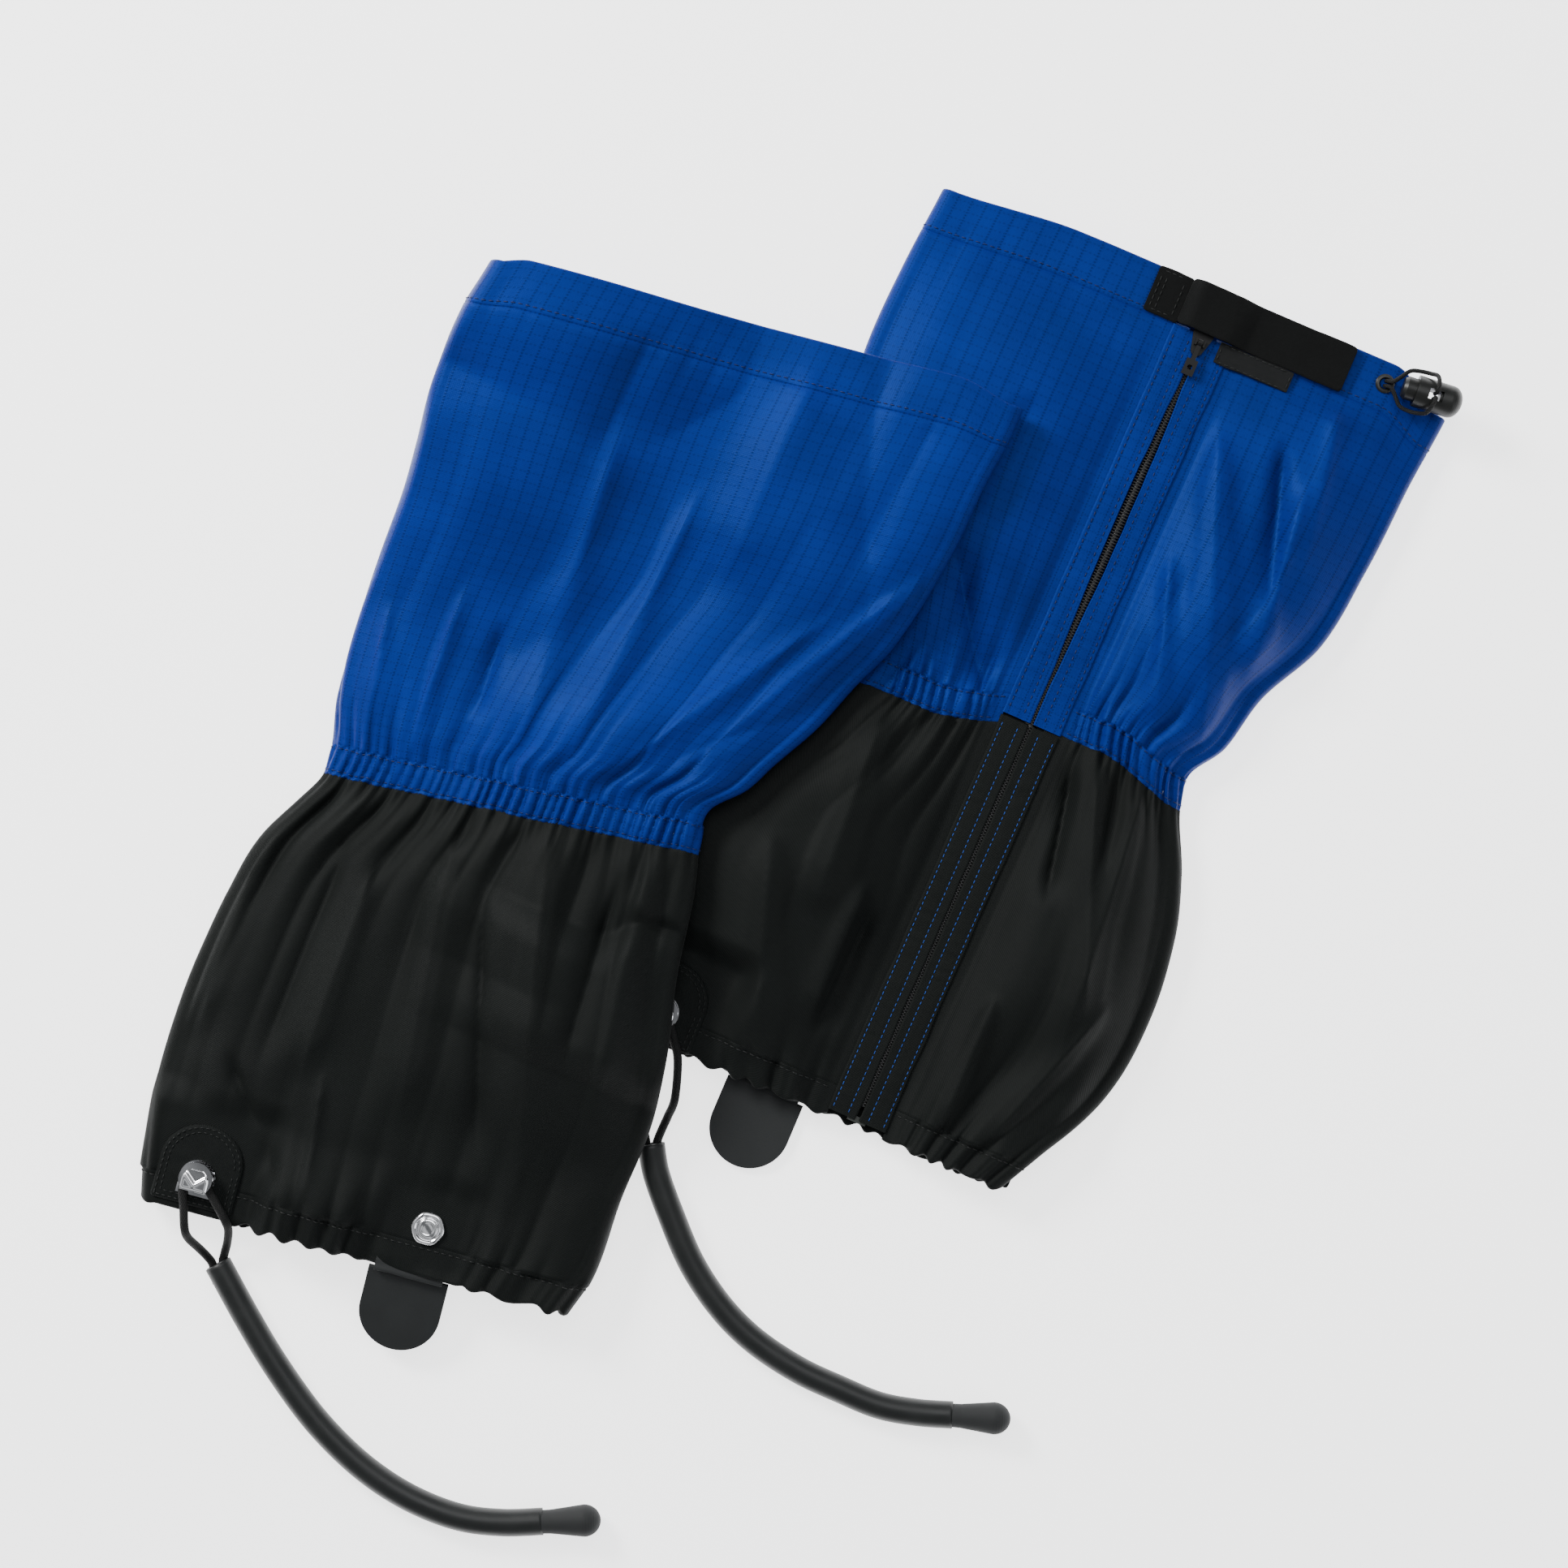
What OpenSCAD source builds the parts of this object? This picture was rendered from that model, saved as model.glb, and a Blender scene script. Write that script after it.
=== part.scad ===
// A pair of trekking gaiters lying flat: the left one front up, partly on the right one, which lies zip up.
// Millimetres. Each gaiter has its own flat frame: u across, v up the leg, turned clockwise about Z.

/* [Fabric] */
// Thickness of the panels
cloth = 1; // [0.8:0.1:1.1]
// Thickness of one layer in the hems and casings
hem_cloth = 0.7; // [0.5:0.1:0.8]
// Depth of the top and bottom hems, both layers and the channel
hem_depth = 3.4; // [3.2:0.1:3.6]
// Depth of the waist casing
casing_depth = 2.8; // [2.6:0.1:3]

/* [Zip] */
// Width of the slit between the facing strips
slit = 3.2; // [3:0.1:3.6]
// Width of the closed coil
coil_width = 5.6; // [5:0.2:5.8]
// Length of the slider
slider_length = 11; // [9:0.5:12]
// Length of the pull
pull_length = 13; // [10:1:14]

/* [Hardware] */
// Diameter of the barrel cord lock
lock_diameter = 13.4; // [12:0.1:13.6]
// Length of the barrel
lock_length = 20; // [18:1:21]
// Diameter of the elastic in the instep strap
shock_cord = 3.6; // [3.2:0.1:3.7]
// Outer diameter of the strap's rubber tube
tube_diameter = 11.4; // [10:0.2:11.6]
// Width of the front tab
tab_width = 34; // [30:1:36]

/* [Hidden] */
$fn = 48;
RIGHT = 0;
LEFT = 1;
TURN = [23, 15];
ORIGIN = [-3.1, -1.2];
GAP = 0.3;

// ---- outlines: [v, u] of the left and right edge of each flattened tube ----
EDGE_L = [
    [[-130, -35], [-105, -56], [-75, -67], [-45, -70], [-15, -58], [15, -26], [42, -8], [56, -7], [75, -14],
     [110, -30], [140, -40], [170, -44], [210, -43], [250, -40]],
    [[-245, -219], [-225, -223], [-197, -226], [-169, -226], [-141, -223], [-112, -218], [-83, -210],
     [-54, -193], [-40, -191], [-18, -195], [12, -195], [40, -193], [70, -190], [115, -189], [150, -184],
     [171, -178]]];
EDGE_R = [
    [[-130, 144], [-111, 154], [-80, 170], [-45, 175], [-6, 171], [20, 163], [42, 152], [56, 150], [75, 160],
     [101, 166], [130, 180], [165, 185], [210, 188], [250, 191]],
    [[-245, -36], [-225, -29], [-193, -26], [-161, -22], [-128, -23], [-100, -27], [-70, -29], [-44, -33],
     [-31, -32], [-20, -20], [-7, -12], [14, 1], [36, 12], [57, 24], [99, 37], [127, 42], [150, 47], [171, 50]]];
// how far each tube swells beside the zip or over the front
SWELL = [
    [[-130, 2], [-110, 6], [-75, 11], [-40, 13], [10, 9], [40, 4], [58, 4], [85, 8], [130, 11], [180, 8],
     [215, 3], [229, 0], [250, 0]],
    [[-245, 2], [-215, 8], [-150, 12], [-90, 9], [-50, 4], [-36, 4], [0, 8], [60, 9], [110, 6], [145, 2],
     [171, 0]]];
BOTTOM = [-130, -245];      // lower edge of the bottom hem
BOTTOM_TOP = [-117, -232];  // where the lower panel starts
WAIST = [42, -50];          // seam between the lower panel and the casing
WAIST_TOP = [54, -38];      // upper edge of the casing
HEM = [230, 151];           // stitch line of the top hem
TOP = [250, 171];           // upper edge
ZIP_FOOT = [[78.5, -128], [-158, -243]];  // [u, v] of the zip's lower end
ZIP_TURN = [-0.8, 12.1];    // turn of the zip in the zip-side frame
ZIP_Z = [12, 9];            // height of the zip's plane
FLAT = 17;                  // half width of the flat ground beside the zip
FOLD = 6;                   // reach of the rounded folds at both edges
THICK = 12;                 // outer height of an empty tube
SIDE_HOOKS = [[[-14, -117], [130, -117]], [[-198, -230], [-66, -232]]];
FRONT_RIVET = [[39, -109], [-100, -225]];
TAB = [[39, -131.9], [-103, -246.9]];
EYELET = [[161, 241], [-153, 160]];
LOCK_TURN = [5, -75];        // rest direction of the cord lock about its eyelet
LOCK_Z = [12, 17.2];        // height of the fabric at the cord lock
// level ground under the sewn-on pieces: [u, v, half width, half height, z] on the zip side and on the front
ZIP_PADS = [[[-14, -112, 23, 22, 13.5], [130, -112, 23, 22, 18.4]],
            [[-66, -227, 23, 22, 8.2]]];
FRONT_PADS = [[[130, -112, 23, 22, 8.2], [39, -109, 12, 12, 3]],
              [[-198, -225, 23, 22, 15.5], [-66, -227, 23, 22, 23], [-100, -225, 14, 14, 21]]];
PAD_SLOPE = 12;             // width of the slope round a pad
SEWN_ON = 0.4;              // lift of a sewn-on patch, so that it clears the fabric's own curve

// ---- small helpers ----
function ease(t) = let (k = min(1, max(0, t))) k * k * (3 - 2 * k);
function plateau(d, full, none) = 1 - ease((abs(d) - full) / (none - full));
function last_below(x, t, i = 0) = i >= len(t) - 2 || x < t[i + 1][0] ? i : last_below(x, t, i + 1);
function slope(t, i) = i == 0 ? (t[1][1] - t[0][1]) / (t[1][0] - t[0][0])
    : i == len(t) - 1 ? (t[i][1] - t[i - 1][1]) / (t[i][0] - t[i - 1][0])
    : (t[i + 1][1] - t[i - 1][1]) / (t[i + 1][0] - t[i - 1][0]);
function curve(x, t) = let (i = last_below(x, t), w = t[i + 1][0] - t[i][0],
        k = min(1, max(0, (x - t[i][0]) / w)))
    t[i][1] * (1 + 2 * k) * pow(1 - k, 2) + t[i + 1][1] * k * k * (3 - 2 * k)
    + slope(t, i) * w * k * pow(1 - k, 2) - slope(t, i + 1) * w * k * k * (1 - k);
function arch(q) = pow(max(0, sin(180 * min(1, max(0, q)))), 0.7);
function place(g, u, v) = [u * cos(TURN[g]) + v * sin(TURN[g]), v * cos(TURN[g]) - u * sin(TURN[g])];
function unplace(g, p) = [p.x * cos(TURN[g]) - p.y * sin(TURN[g]), p.x * sin(TURN[g]) + p.y * cos(TURN[g])];
function zip_u(g, v) = ZIP_FOOT[g][0] + (g == RIGHT ? 0.014 : 0.2144) * (v - ZIP_FOOT[g][1]);
function pad_share(u, v, p) =
    plateau(u - p[0], p[2], p[2] + PAD_SLOPE) * plateau(v - p[1], p[3], p[3] + PAD_SLOPE);
function padded(h, u, v, pads, i = 0) = i == len(pads) ? h
    : padded(h + (pads[i][4] - h) * pad_share(u, v, pads[i]), u, v, pads, i + 1);
function spot(u, v, at, full, none) = plateau(norm([u, v] - at), full, none);

// ---- heights of the right gaiter ----
function zip_face_right(u, v) =
    let (z = zip_u(RIGHT, v), r = curve(v, EDGE_R[RIGHT]) - FOLD, l = curve(v, EDGE_L[RIGHT]) + FOLD,
         q = u > z ? (u - z - FLAT - 1) / (r - z - FLAT) : (z - FLAT - 1 - u) / (z - FLAT - l))
    ZIP_Z[RIGHT] + curve(v, SWELL[RIGHT]) * arch(q) - 2 * ease(4 * q - 3);

// ---- heights of the left gaiter: it lies on the floor, on its zip and on the right gaiter ----
function under_left(u, v) =
    let (p = unplace(RIGHT, place(LEFT, u, v)), edge = curve(p.y, EDGE_L[RIGHT]),
         near = max(p.x, edge + 12),
         top = max(zip_face(RIGHT, near, max(p.y, -128)), 21 * spot(near, p.y, SIDE_HOOKS[RIGHT][0], 26, 60)))
    (top + 2) * ease((p.x - edge + 31) / 27) * curve(p.y, [[-215, 0], [-195, 0.32], [-170, 0.66], [-145, 0.95],
                                                         [-132, 1], [250, 1]]);
function zip_ridge(u, v) =
    let (d = u - zip_u(LEFT, v), wide = ease((v - 100) / 36))
    ZIP_Z[LEFT] * plateau(min(d, 0), FLAT + 2 + 80 * wide, FLAT + 26 + 90 * wide)
    * plateau(max(d, 0), FLAT + 2 + 17 * wide, FLAT + 26 + 24 * wide);
function zip_face_left(u, v) =
    let (d = u - zip_u(LEFT, v))
    max(zip_ridge(u, v), under_left(u, v),
        v > 80 ? LOCK_Z[LEFT] * ease((v - 88) / 26) * ease((-63 - d) / 10) : 0);
function front_face_left(u, v) =
    let (r = curve(v, EDGE_R[LEFT]) - FOLD, l = curve(v, EDGE_L[LEFT]) + FOLD, q = (u - l) / (r - l),
         open = ease((v + 230) / 30) * ease((150 - v) / 40))
    max(under_left(u, v), zip_face_left(u, v) - open * zip_ridge(u, v)) + THICK
    - 2 * (ease(1 - 8 * q) + ease(8 * q - 7)) + curve(v, SWELL[LEFT]) * arch(q);
function zip_face(g, u, v) = padded(g == RIGHT ? zip_face_right(u, v) : zip_face_left(u, v), u, v, ZIP_PADS[g]);
function front_face(g, u, v) = padded(g == RIGHT ? 0 : front_face_left(u, v), u, v, FRONT_PADS[g]);

// ---- drift of the seams away from straight lines across the tube ----
function drift(g, u, s) = g == RIGHT
    ? 12 * plateau(u - 100, 10, 62) * plateau(s - 48, 8, 70)
      - (5 * ease((20 - u) / 60) + 14 * ease((u - 162) / 30)) * ease((s - 195) / 55)
    : 0.055 * (u + 112) * plateau(s + 45, 8, 80)
      - (4 * ease((-160 - u) / 18) + 6 * ease((u - 20) / 30)) * ease((s - 130) / 40);

// ---- the way round a tube, from one side of the slit to the other ----
// each entry is [part, place]: 0 zip face to the right, 1 right fold, 2 front face, 3 left fold, 4 zip face
ACROSS = [-1, 0, 0.12, 0.25, 0.38, 0.5, 0.62, 0.74, 0.87, 1];
ZIP_SIDE_RIGHT = concat([for (q = ACROSS) [0, q]], [[1, 50]]);
FRONT_SIDE = concat([[1, -50]], [for (q = [0:1 / 16:1]) [2, q]], [[3, -50]]);
ZIP_SIDE_LEFT = concat([[3, 50]], [for (k = [len(ACROSS) - 1:-1:0]) [4, ACROSS[k]]]);
AROUND = concat(ZIP_SIDE_RIGHT, [[1, 0]], FRONT_SIDE, [[3, 0]], ZIP_SIDE_LEFT);
SIDE_SEAM = 1.5;            // half angle of the joint in the middle of each fold
// the three pieces that panels and hems are sewn together from
CUT = [concat(ZIP_SIDE_RIGHT, [[1, SIDE_SEAM]]),
       concat([[1, -SIDE_SEAM]], FRONT_SIDE, [[3, -SIDE_SEAM]]),
       concat([[3, SIDE_SEAM]], ZIP_SIDE_LEFT)];
// a point of the fabric: inset is the distance inwards from its outer side
function skin(g, s, step, inset, edge) =
    let (z = zip_u(g, s), r = curve(s, EDGE_R[g]) - FOLD, l = curve(s, EDGE_L[g]) + FOLD,
         up = g == RIGHT ? 1 : -1, kind = step[0], q = step[1],
         side = kind == 1 ? r : l, out = kind == 1 ? 1 : -1,
         u = kind == 0 ? (q < 0 ? z + edge : z + FLAT + q * (r - z - FLAT))
           : kind == 4 ? (q < 0 ? z - edge : z - FLAT - q * (z - FLAT - l))
           : kind == 2 ? r + q * (l - r)
           : side + out * (FOLD - inset) * cos(q),
         at = kind == 1 || kind == 3 ? side : u,
         v = s + drift(g, at, s),
         zz = zip_face(g, at, v), ff = front_face(g, at, v), mid = (zz + ff) / 2,
         h = kind == 0 || kind == 4 ? zz - up * inset
           : kind == 2 ? ff + up * inset
           : mid + (up * abs(zz - ff) / 2 - up * inset) * sin(q),
         p = place(g, u, v))
    [p.x, p.y, h];

// ---- a folded or flat strip swept round the tube: outer and inner lists of [s, inset] ----
module strip(g, outer, inner, edge, way = AROUND, downwards = false) {
    m = len(outer);
    n = len(way);
    ring = 2 * m;
    profile = concat(outer, [for (k = [m - 1:-1:0]) inner[k]]);
    points = [for (step = way) for (c = profile) skin(g, c[0], step, c[1], edge)];
    walls = [for (i = [0:n - 2]) for (k = [0:ring - 1])
        let (a = i * ring + k, b = i * ring + (k + 1) % ring) each [[a, b, b + ring], [a, b + ring, a + ring]]];
    starts = [for (k = [0:m - 2]) let (a = k, b = k + 1, c = ring - 2 - k, d = ring - 1 - k)
        each [[d, c, b], [d, b, a]]];
    ends = [for (f = starts) [for (k = [2:-1:0]) f[k] + (n - 1) * ring]];
    faces = concat(walls, starts, ends);
    polyhedron(points, (g == RIGHT) != downwards ? faces : [for (f = faces) [f[0], f[2], f[1]]], convexity = 8);
}
module sheet(g, stations, edge, from = 0, thick = cloth, ways = CUT) for (way = ways)
    strip(g, [for (s = stations) [s, from]], [for (s = stations) [s, from + thick]], edge, way);
// a hem folded back on itself, with the fold at s1 and both layers ending at s0
module hem(g, s0, s1, depth, edge) {
    in = s1 > s0 ? hem_cloth : -hem_cloth;
    for (way = CUT) strip(g, [[s0, 0], [s1, 0], [s1, depth], [s0, depth]],
        [[s0, hem_cloth], [s1 - in, hem_cloth], [s1 - in, depth - hem_cloth], [s0, depth - hem_cloth]],
        edge, way, s1 < s0);
}
module hem_cord(g, s, radius, inset, edge)
    strip(g, [for (a = [-67.5:45:67.5]) [s + radius * sin(a), inset - radius * cos(a)]],
          [for (a = [-67.5:45:67.5]) [s + radius * sin(a), inset + radius * cos(a)]], edge);

// ---- a round cord along a route, r may be one number or one per point ----
function unit(v) = v / norm(v);
function cross_sides(t) = let (side = unit(cross(t, [0, 0, 1]))) [side, cross(side, t)];
module cord(route, radius, sides) {
    n = len(route);
    points = [for (i = [0:n - 1])
        let (t = unit(route[min(n - 1, i + 1)] - route[max(0, i - 1)]), f = cross_sides(t))
        for (k = [0:sides - 1]) let (a = 360 * (k + 0.5) / sides)
            route[i] + radius * (cos(a) * f[0] + sin(a) * f[1])];
    walls = [for (i = [0:n - 2]) for (k = [0:sides - 1])
        let (a = i * sides + k, b = i * sides + (k + 1) % sides)
            each [[a, b + sides, a + sides], [a, b, b + sides]]];
    polyhedron(points, concat(walls, [[for (k = [sides - 1:-1:0]) k]],
                              [[for (k = [0:sides - 1]) (n - 1) * sides + k]]), convexity = 6);
}
// points on a smooth curve through the given ones, with steps points for each span
function through(p, steps) = concat([for (i = [0:len(p) - 2]) for (k = [0:steps - 1])
    let (t = k / steps, a = p[max(0, i - 1)], b = p[i], c = p[i + 1], d = p[min(len(p) - 1, i + 2)])
    0.5 * (2 * b + (c - a) * t + (2 * a - 5 * b + 4 * c - d) * t * t + (3 * b - a - 3 * c + d) * t * t * t)],
    [p[len(p) - 1]]);

// ---- frames on a gaiter: z is the outward normal of the zip side (1) or of the front (-1) ----
module on(g, u, v, z, face = 1, turn = 0) {
    p = place(g, u, v);
    facing_up = (g == RIGHT) == (face == 1);
    translate([p.x, p.y, z]) rotate([0, 0, -TURN[g]]) rotate([0, facing_up ? 0 : 180, 0])
        rotate([0, 0, turn]) children();
}
module on_zip(g) on(g, ZIP_FOOT[g][0], ZIP_FOOT[g][1], ZIP_Z[g], 1, ZIP_TURN[g]) children();
module on_hem(g) on(g, zip_u(g, HEM[g]), HEM[g], ZIP_Z[g]) children();
module on_side_hook(g, i) {
    h = SIDE_HOOKS[g][i];
    shown = g == RIGHT ? i == 0 : i == 1;   // true on the zip side
    z = shown ? zip_face(g, h[0], h[1]) : front_face(g, h[0], h[1]);
    on(g, h[0], h[1], z, shown ? 1 : -1) translate([0, 0, SEWN_ON]) children();
}

// ---- fabric ----
BLUE = [0.06, 0.25, 0.63];
BLACK = [0.09, 0.1, 0.1];
PANEL_EDGE = 6;
HEM_EDGE = 14;
ELASTIC = 0.8;
CORD_RADIUS = 0.9;
function steps(a, b, n) = [for (i = [0:n]) a + (b - a) * i / n];
module top_hem(g) color(BLUE) difference() {
    hem(g, HEM[g], TOP[g], hem_depth, HEM_EDGE);
    on(g, EYELET[g][0], EYELET[g][1], LOCK_Z[g]) translate([0, 0, -hem_cloth - 0.5])
        cylinder(d = EYELET_BARREL + 0.2, h = 2);
}
module upper_panel(g) color(BLUE) sheet(g, steps(WAIST_TOP[g], HEM[g], 10), PANEL_EDGE);
module waist_casing(g) color(BLUE) hem(g, WAIST[g], WAIST_TOP[g], casing_depth, HEM_EDGE);
module elastics(g) color([0.85, 0.85, 0.82]) {
    sheet(g, steps(WAIST[g] + 1.5, WAIST_TOP[g] - 1.5, 1), HEM_EDGE + 1, (casing_depth - ELASTIC) / 2, ELASTIC,
          [AROUND]);
    sheet(g, steps(BOTTOM[g] + 2, BOTTOM_TOP[g] - 2, 1), HEM_EDGE + 1, (hem_depth - ELASTIC) / 2, ELASTIC, [AROUND]);
}
module lower_panel(g) color(BLACK) sheet(g, concat([for (s = [0, 12, 26, 39]) BOTTOM_TOP[g] + s],
    steps(BOTTOM_TOP[g] + 52, WAIST[g], 7)), PANEL_EDGE);
module bottom_casing(g) color(BLACK) hem(g, BOTTOM_TOP[g], BOTTOM[g], hem_depth, HEM_EDGE);
module drawcord(g) color([0.07, 0.07, 0.07]) hem_cord(g, TOP[g] - 5, CORD_RADIUS, hem_depth / 2, HEM_EDGE + 1);

// ---- zip ----
FACING_OUT = 13;
FACING = 1;
TAPE = 0.8;
COIL = 1.8;
SEAM_AT = [WAIST[0] + 11, WAIST[1] - 1];  // where the waist seam crosses the zip
function along_zip(g, v) = (v - ZIP_FOOT[g][1]) / cos(g == RIGHT ? 0.8 : 12.1);
module facing_pair(a, b) for (x = [slit / 2, -FACING_OUT])
    translate([x, a, 0]) cube([FACING_OUT - slit / 2, b - a, FACING]);
module upper_facings(g) color(BLUE) on_zip(g)
    facing_pair(along_zip(g, SEAM_AT[g]) + GAP, along_zip(g, HEM[g]) - GAP);
module lower_facings(g) color(BLACK) on_zip(g) facing_pair(1, along_zip(g, SEAM_AT[g]));
module zip_tapes(g) color([0.05, 0.05, 0.05]) on_zip(g) for (x = [coil_width / 2, -FACING_OUT])
    translate([x, 3, -cloth - TAPE]) cube([FACING_OUT - coil_width / 2, along_zip(g, HEM[g]) - 4, TAPE]);
SLIDER_AT = [354, 399];     // middle of the slider along the zip
TOOTH = 1.6;
module zip_chain(g) color([0.13, 0.13, 0.13]) on_zip(g) {
    translate([-coil_width / 2, 8, -0.6 - COIL]) cube([coil_width, SLIDER_AT[g] - 8, COIL * 0.6]);
    for (y = [8:2 * TOOTH:SLIDER_AT[g] - 4])
        translate([-coil_width / 2 + 0.4, y, -0.6 - COIL * 0.4]) cube([coil_width - 0.8, TOOTH, COIL * 0.4]);
}
PLATE = 1.2;
SLIDER_WIDE = 9;
module slider_plate(z) translate([0, 0, z]) linear_extrude(PLATE) hull() {
    for (x = [-1, 1]) translate([x * (SLIDER_WIDE / 2 - 1.5), slider_length / 2 - 1.5]) circle(1.5);
    translate([0, -slider_length / 2 + 2.6]) circle(2.6);
}
PULL_W = FACING + 0.4 + PLATE + 1.5;   // height of the pull's pin
PIN = 0.7;
module zip_slider(g) color([0.16, 0.16, 0.17]) on_zip(g) translate([0, SLIDER_AT[g], 0]) {
    slider_plate(FACING + 0.4);
    slider_plate(-0.6 - COIL - 0.4 - PLATE);
    translate([-1.1, 1, -0.6 - COIL - 0.5]) cube([2.2, 3, FACING + COIL + 1.6]);
    for (x = [-2.2, 1.4]) translate([x, -1.4, FACING + PLATE + 0.3]) cube([0.8, 2.8, 2.5]);
    translate([-2, 0, PULL_W]) rotate([0, 90, 0]) cylinder(r = PIN, h = 4);
}
module zip_pull(g) color([0.2, 0.2, 0.21]) on_zip(g) translate([0, SLIDER_AT[g], PULL_W]) {
    difference() {
        rotate([0, 90, 0]) cylinder(r = PIN + 0.75, h = 2, center = true);
        rotate([0, 90, 0]) cylinder(r = PIN + 0.08, h = 3, center = true);
    }
    translate([-1, -pull_length + 3, -0.5]) cube([2, pull_length - 4, 1]);
    translate([0, -pull_length + 2, -0.5]) linear_extrude(1) difference() {
        square([5, 7], center = true);
        circle(1.1);
    }
}
module zip_retainer(g) color([0.22, 0.22, 0.22]) on_zip(g) {
    translate([-4, 0, -0.6 - COIL - 0.6]) cube([8, 2.6, 2.4]);
    for (x = [-2.7, 0.9]) translate([x, 2.6, -0.6 - COIL]) cube([1.8, 5.4, COIL]);
}

// ---- closure flap ----
FLAP_FROM = -27.5;
FLAP_HINGE = -12;
FLAP_TO = 61.5;
FLAP_TALL = 21;
FLAP = 1.2;
FLAP_RISE = 5;
function flap_mid(x) = 2 + FLAP_RISE * plateau(x - 1, 7, 14);
module flap_anchor(g) color(BLACK) on_hem(g) {
    translate([FLAP_FROM, 0, 0]) cube([FLAP_HINGE - FLAP_FROM - 1, FLAP_TALL - 1, 1.6]);
    translate([21, 1.5, 0]) cube([39, FLAP_TALL - 4, 1]);
}
module closure_flap(g) color(BLACK) on_hem(g) translate([0, FLAP_TALL - 1, 0]) rotate([90, 0, 0])
    linear_extrude(FLAP_TALL - 1) {
        polygon(concat([for (x = [FLAP_HINGE:1:20]) [x, flap_mid(x) + FLAP / 2]],
                       [[FLAP_TO, 2 + FLAP / 2], [FLAP_TO, 2 - FLAP / 2]],
                       [for (x = [20:-1:FLAP_HINGE]) [x, flap_mid(x) - FLAP / 2]]));
        translate([FLAP_HINGE, 2]) circle(FLAP / 2);
    }
LABEL = [33, 9, 0.6];
LABEL_W = [1.6, FACING + 0.1];
module fabric_label(g) color([0.12, 0.12, 0.12]) on_hem(g) translate([8, -LABEL.y, LABEL_W[g]])
    cube(LABEL);

// ---- eyelet, cord loop and cord lock ----
EYELET_BARREL = 5;
EYELET_BORE = 4.2;
module eyelet(g) color([0.05, 0.05, 0.05]) on(g, EYELET[g][0], EYELET[g][1], LOCK_Z[g]) rotate_extrude()
    polygon([[EYELET_BORE / 2, -1.1], [EYELET_BARREL / 2, -1.1], [EYELET_BARREL / 2, 0], [4, 0], [4, 0.5],
             [3.4, 1], [2.6, 1.1], [EYELET_BORE / 2, 0.6]]);
module at_lock(g) on(g, EYELET[g][0], EYELET[g][1], LOCK_Z[g], 1, LOCK_TURN[g]) children();
LOCK_W = 7.6;               // height of the barrel's axis
LOCK_NEAR = 12;             // open end of the barrel from the eyelet
LOCK_WALL = 1.6;
PLUNGER_REACH = 4;
CORD_AT = 20;               // where the cord passes through the barrel
module along_lock() translate([0, 0, LOCK_W]) rotate([0, 90, 0]) children();
module cord_slot() translate([CORD_AT, 0, LOCK_W]) cube([6, 4.4, 2 * lock_diameter], center = true);
module lock_barrel(g) color([0.06, 0.06, 0.06]) at_lock(g) difference() {
    along_lock() rotate_extrude() polygon(concat(
        [[lock_diameter / 2 - LOCK_WALL, LOCK_NEAR], [lock_diameter / 2, LOCK_NEAR]],
        [for (a = [0:10:80]) [(lock_diameter / 2) * cos(a) , LOCK_NEAR + lock_length - 5 + 5 * sin(a)]],
        [[0, LOCK_NEAR + lock_length], [0, LOCK_NEAR + lock_length - LOCK_WALL],
         [lock_diameter / 2 - LOCK_WALL, LOCK_NEAR + lock_length - LOCK_WALL - 2.4]]));
    cord_slot();
}
PLUNGER_R = lock_diameter / 2 - LOCK_WALL - 0.15;
module lock_plunger(g) color([0.08, 0.08, 0.08]) at_lock(g) difference() {
    translate([LOCK_NEAR - PLUNGER_REACH, 0, 0]) along_lock() {
        cylinder(r = PLUNGER_R, h = PLUNGER_REACH + 11);
        translate([0, 0, -1.4]) cylinder(r1 = PLUNGER_R - 1, r2 = PLUNGER_R, h = 1.4);
    }
    translate([CORD_AT - 7, -2.2, 0]) cube([9, 4.4, 2 * lock_diameter]);
}
module lock_spring(g) color([0.6, 0.6, 0.6]) at_lock(g)
    translate([LOCK_NEAR + 11.2, 0, 0]) along_lock()
        for (i = [0:3]) translate([0, 0, 0.4 + i * 1.1])
            rotate_extrude() translate([2.6, 0]) circle(0.35, $fn = 16);
// the cord comes out of the eyelet as two strands, runs to the barrel and through it, and is closed by a knot
module cord_loop(g) color([0.07, 0.07, 0.07]) at_lock(g) for (y = [-1, 1]) cord(through([
    [y * 0.05, y * 1, 0.6], [0.6, y * 1.1, 2], [2.6, y * 1.3, 3.4], [5, y * 4, 4], [8, y * 7.6, 4.6],
    [12, y * 8.6, 5.6], [16, y * 8.6, 8], [18.5, y * 8, 12], [19.6, y * 5, 15.2], [20, y * 1.8, 15.6],
    [20, y * 1.15, 13], [20, y * 1.15, 8]], 3),
    CORD_RADIUS, 8);

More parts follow.
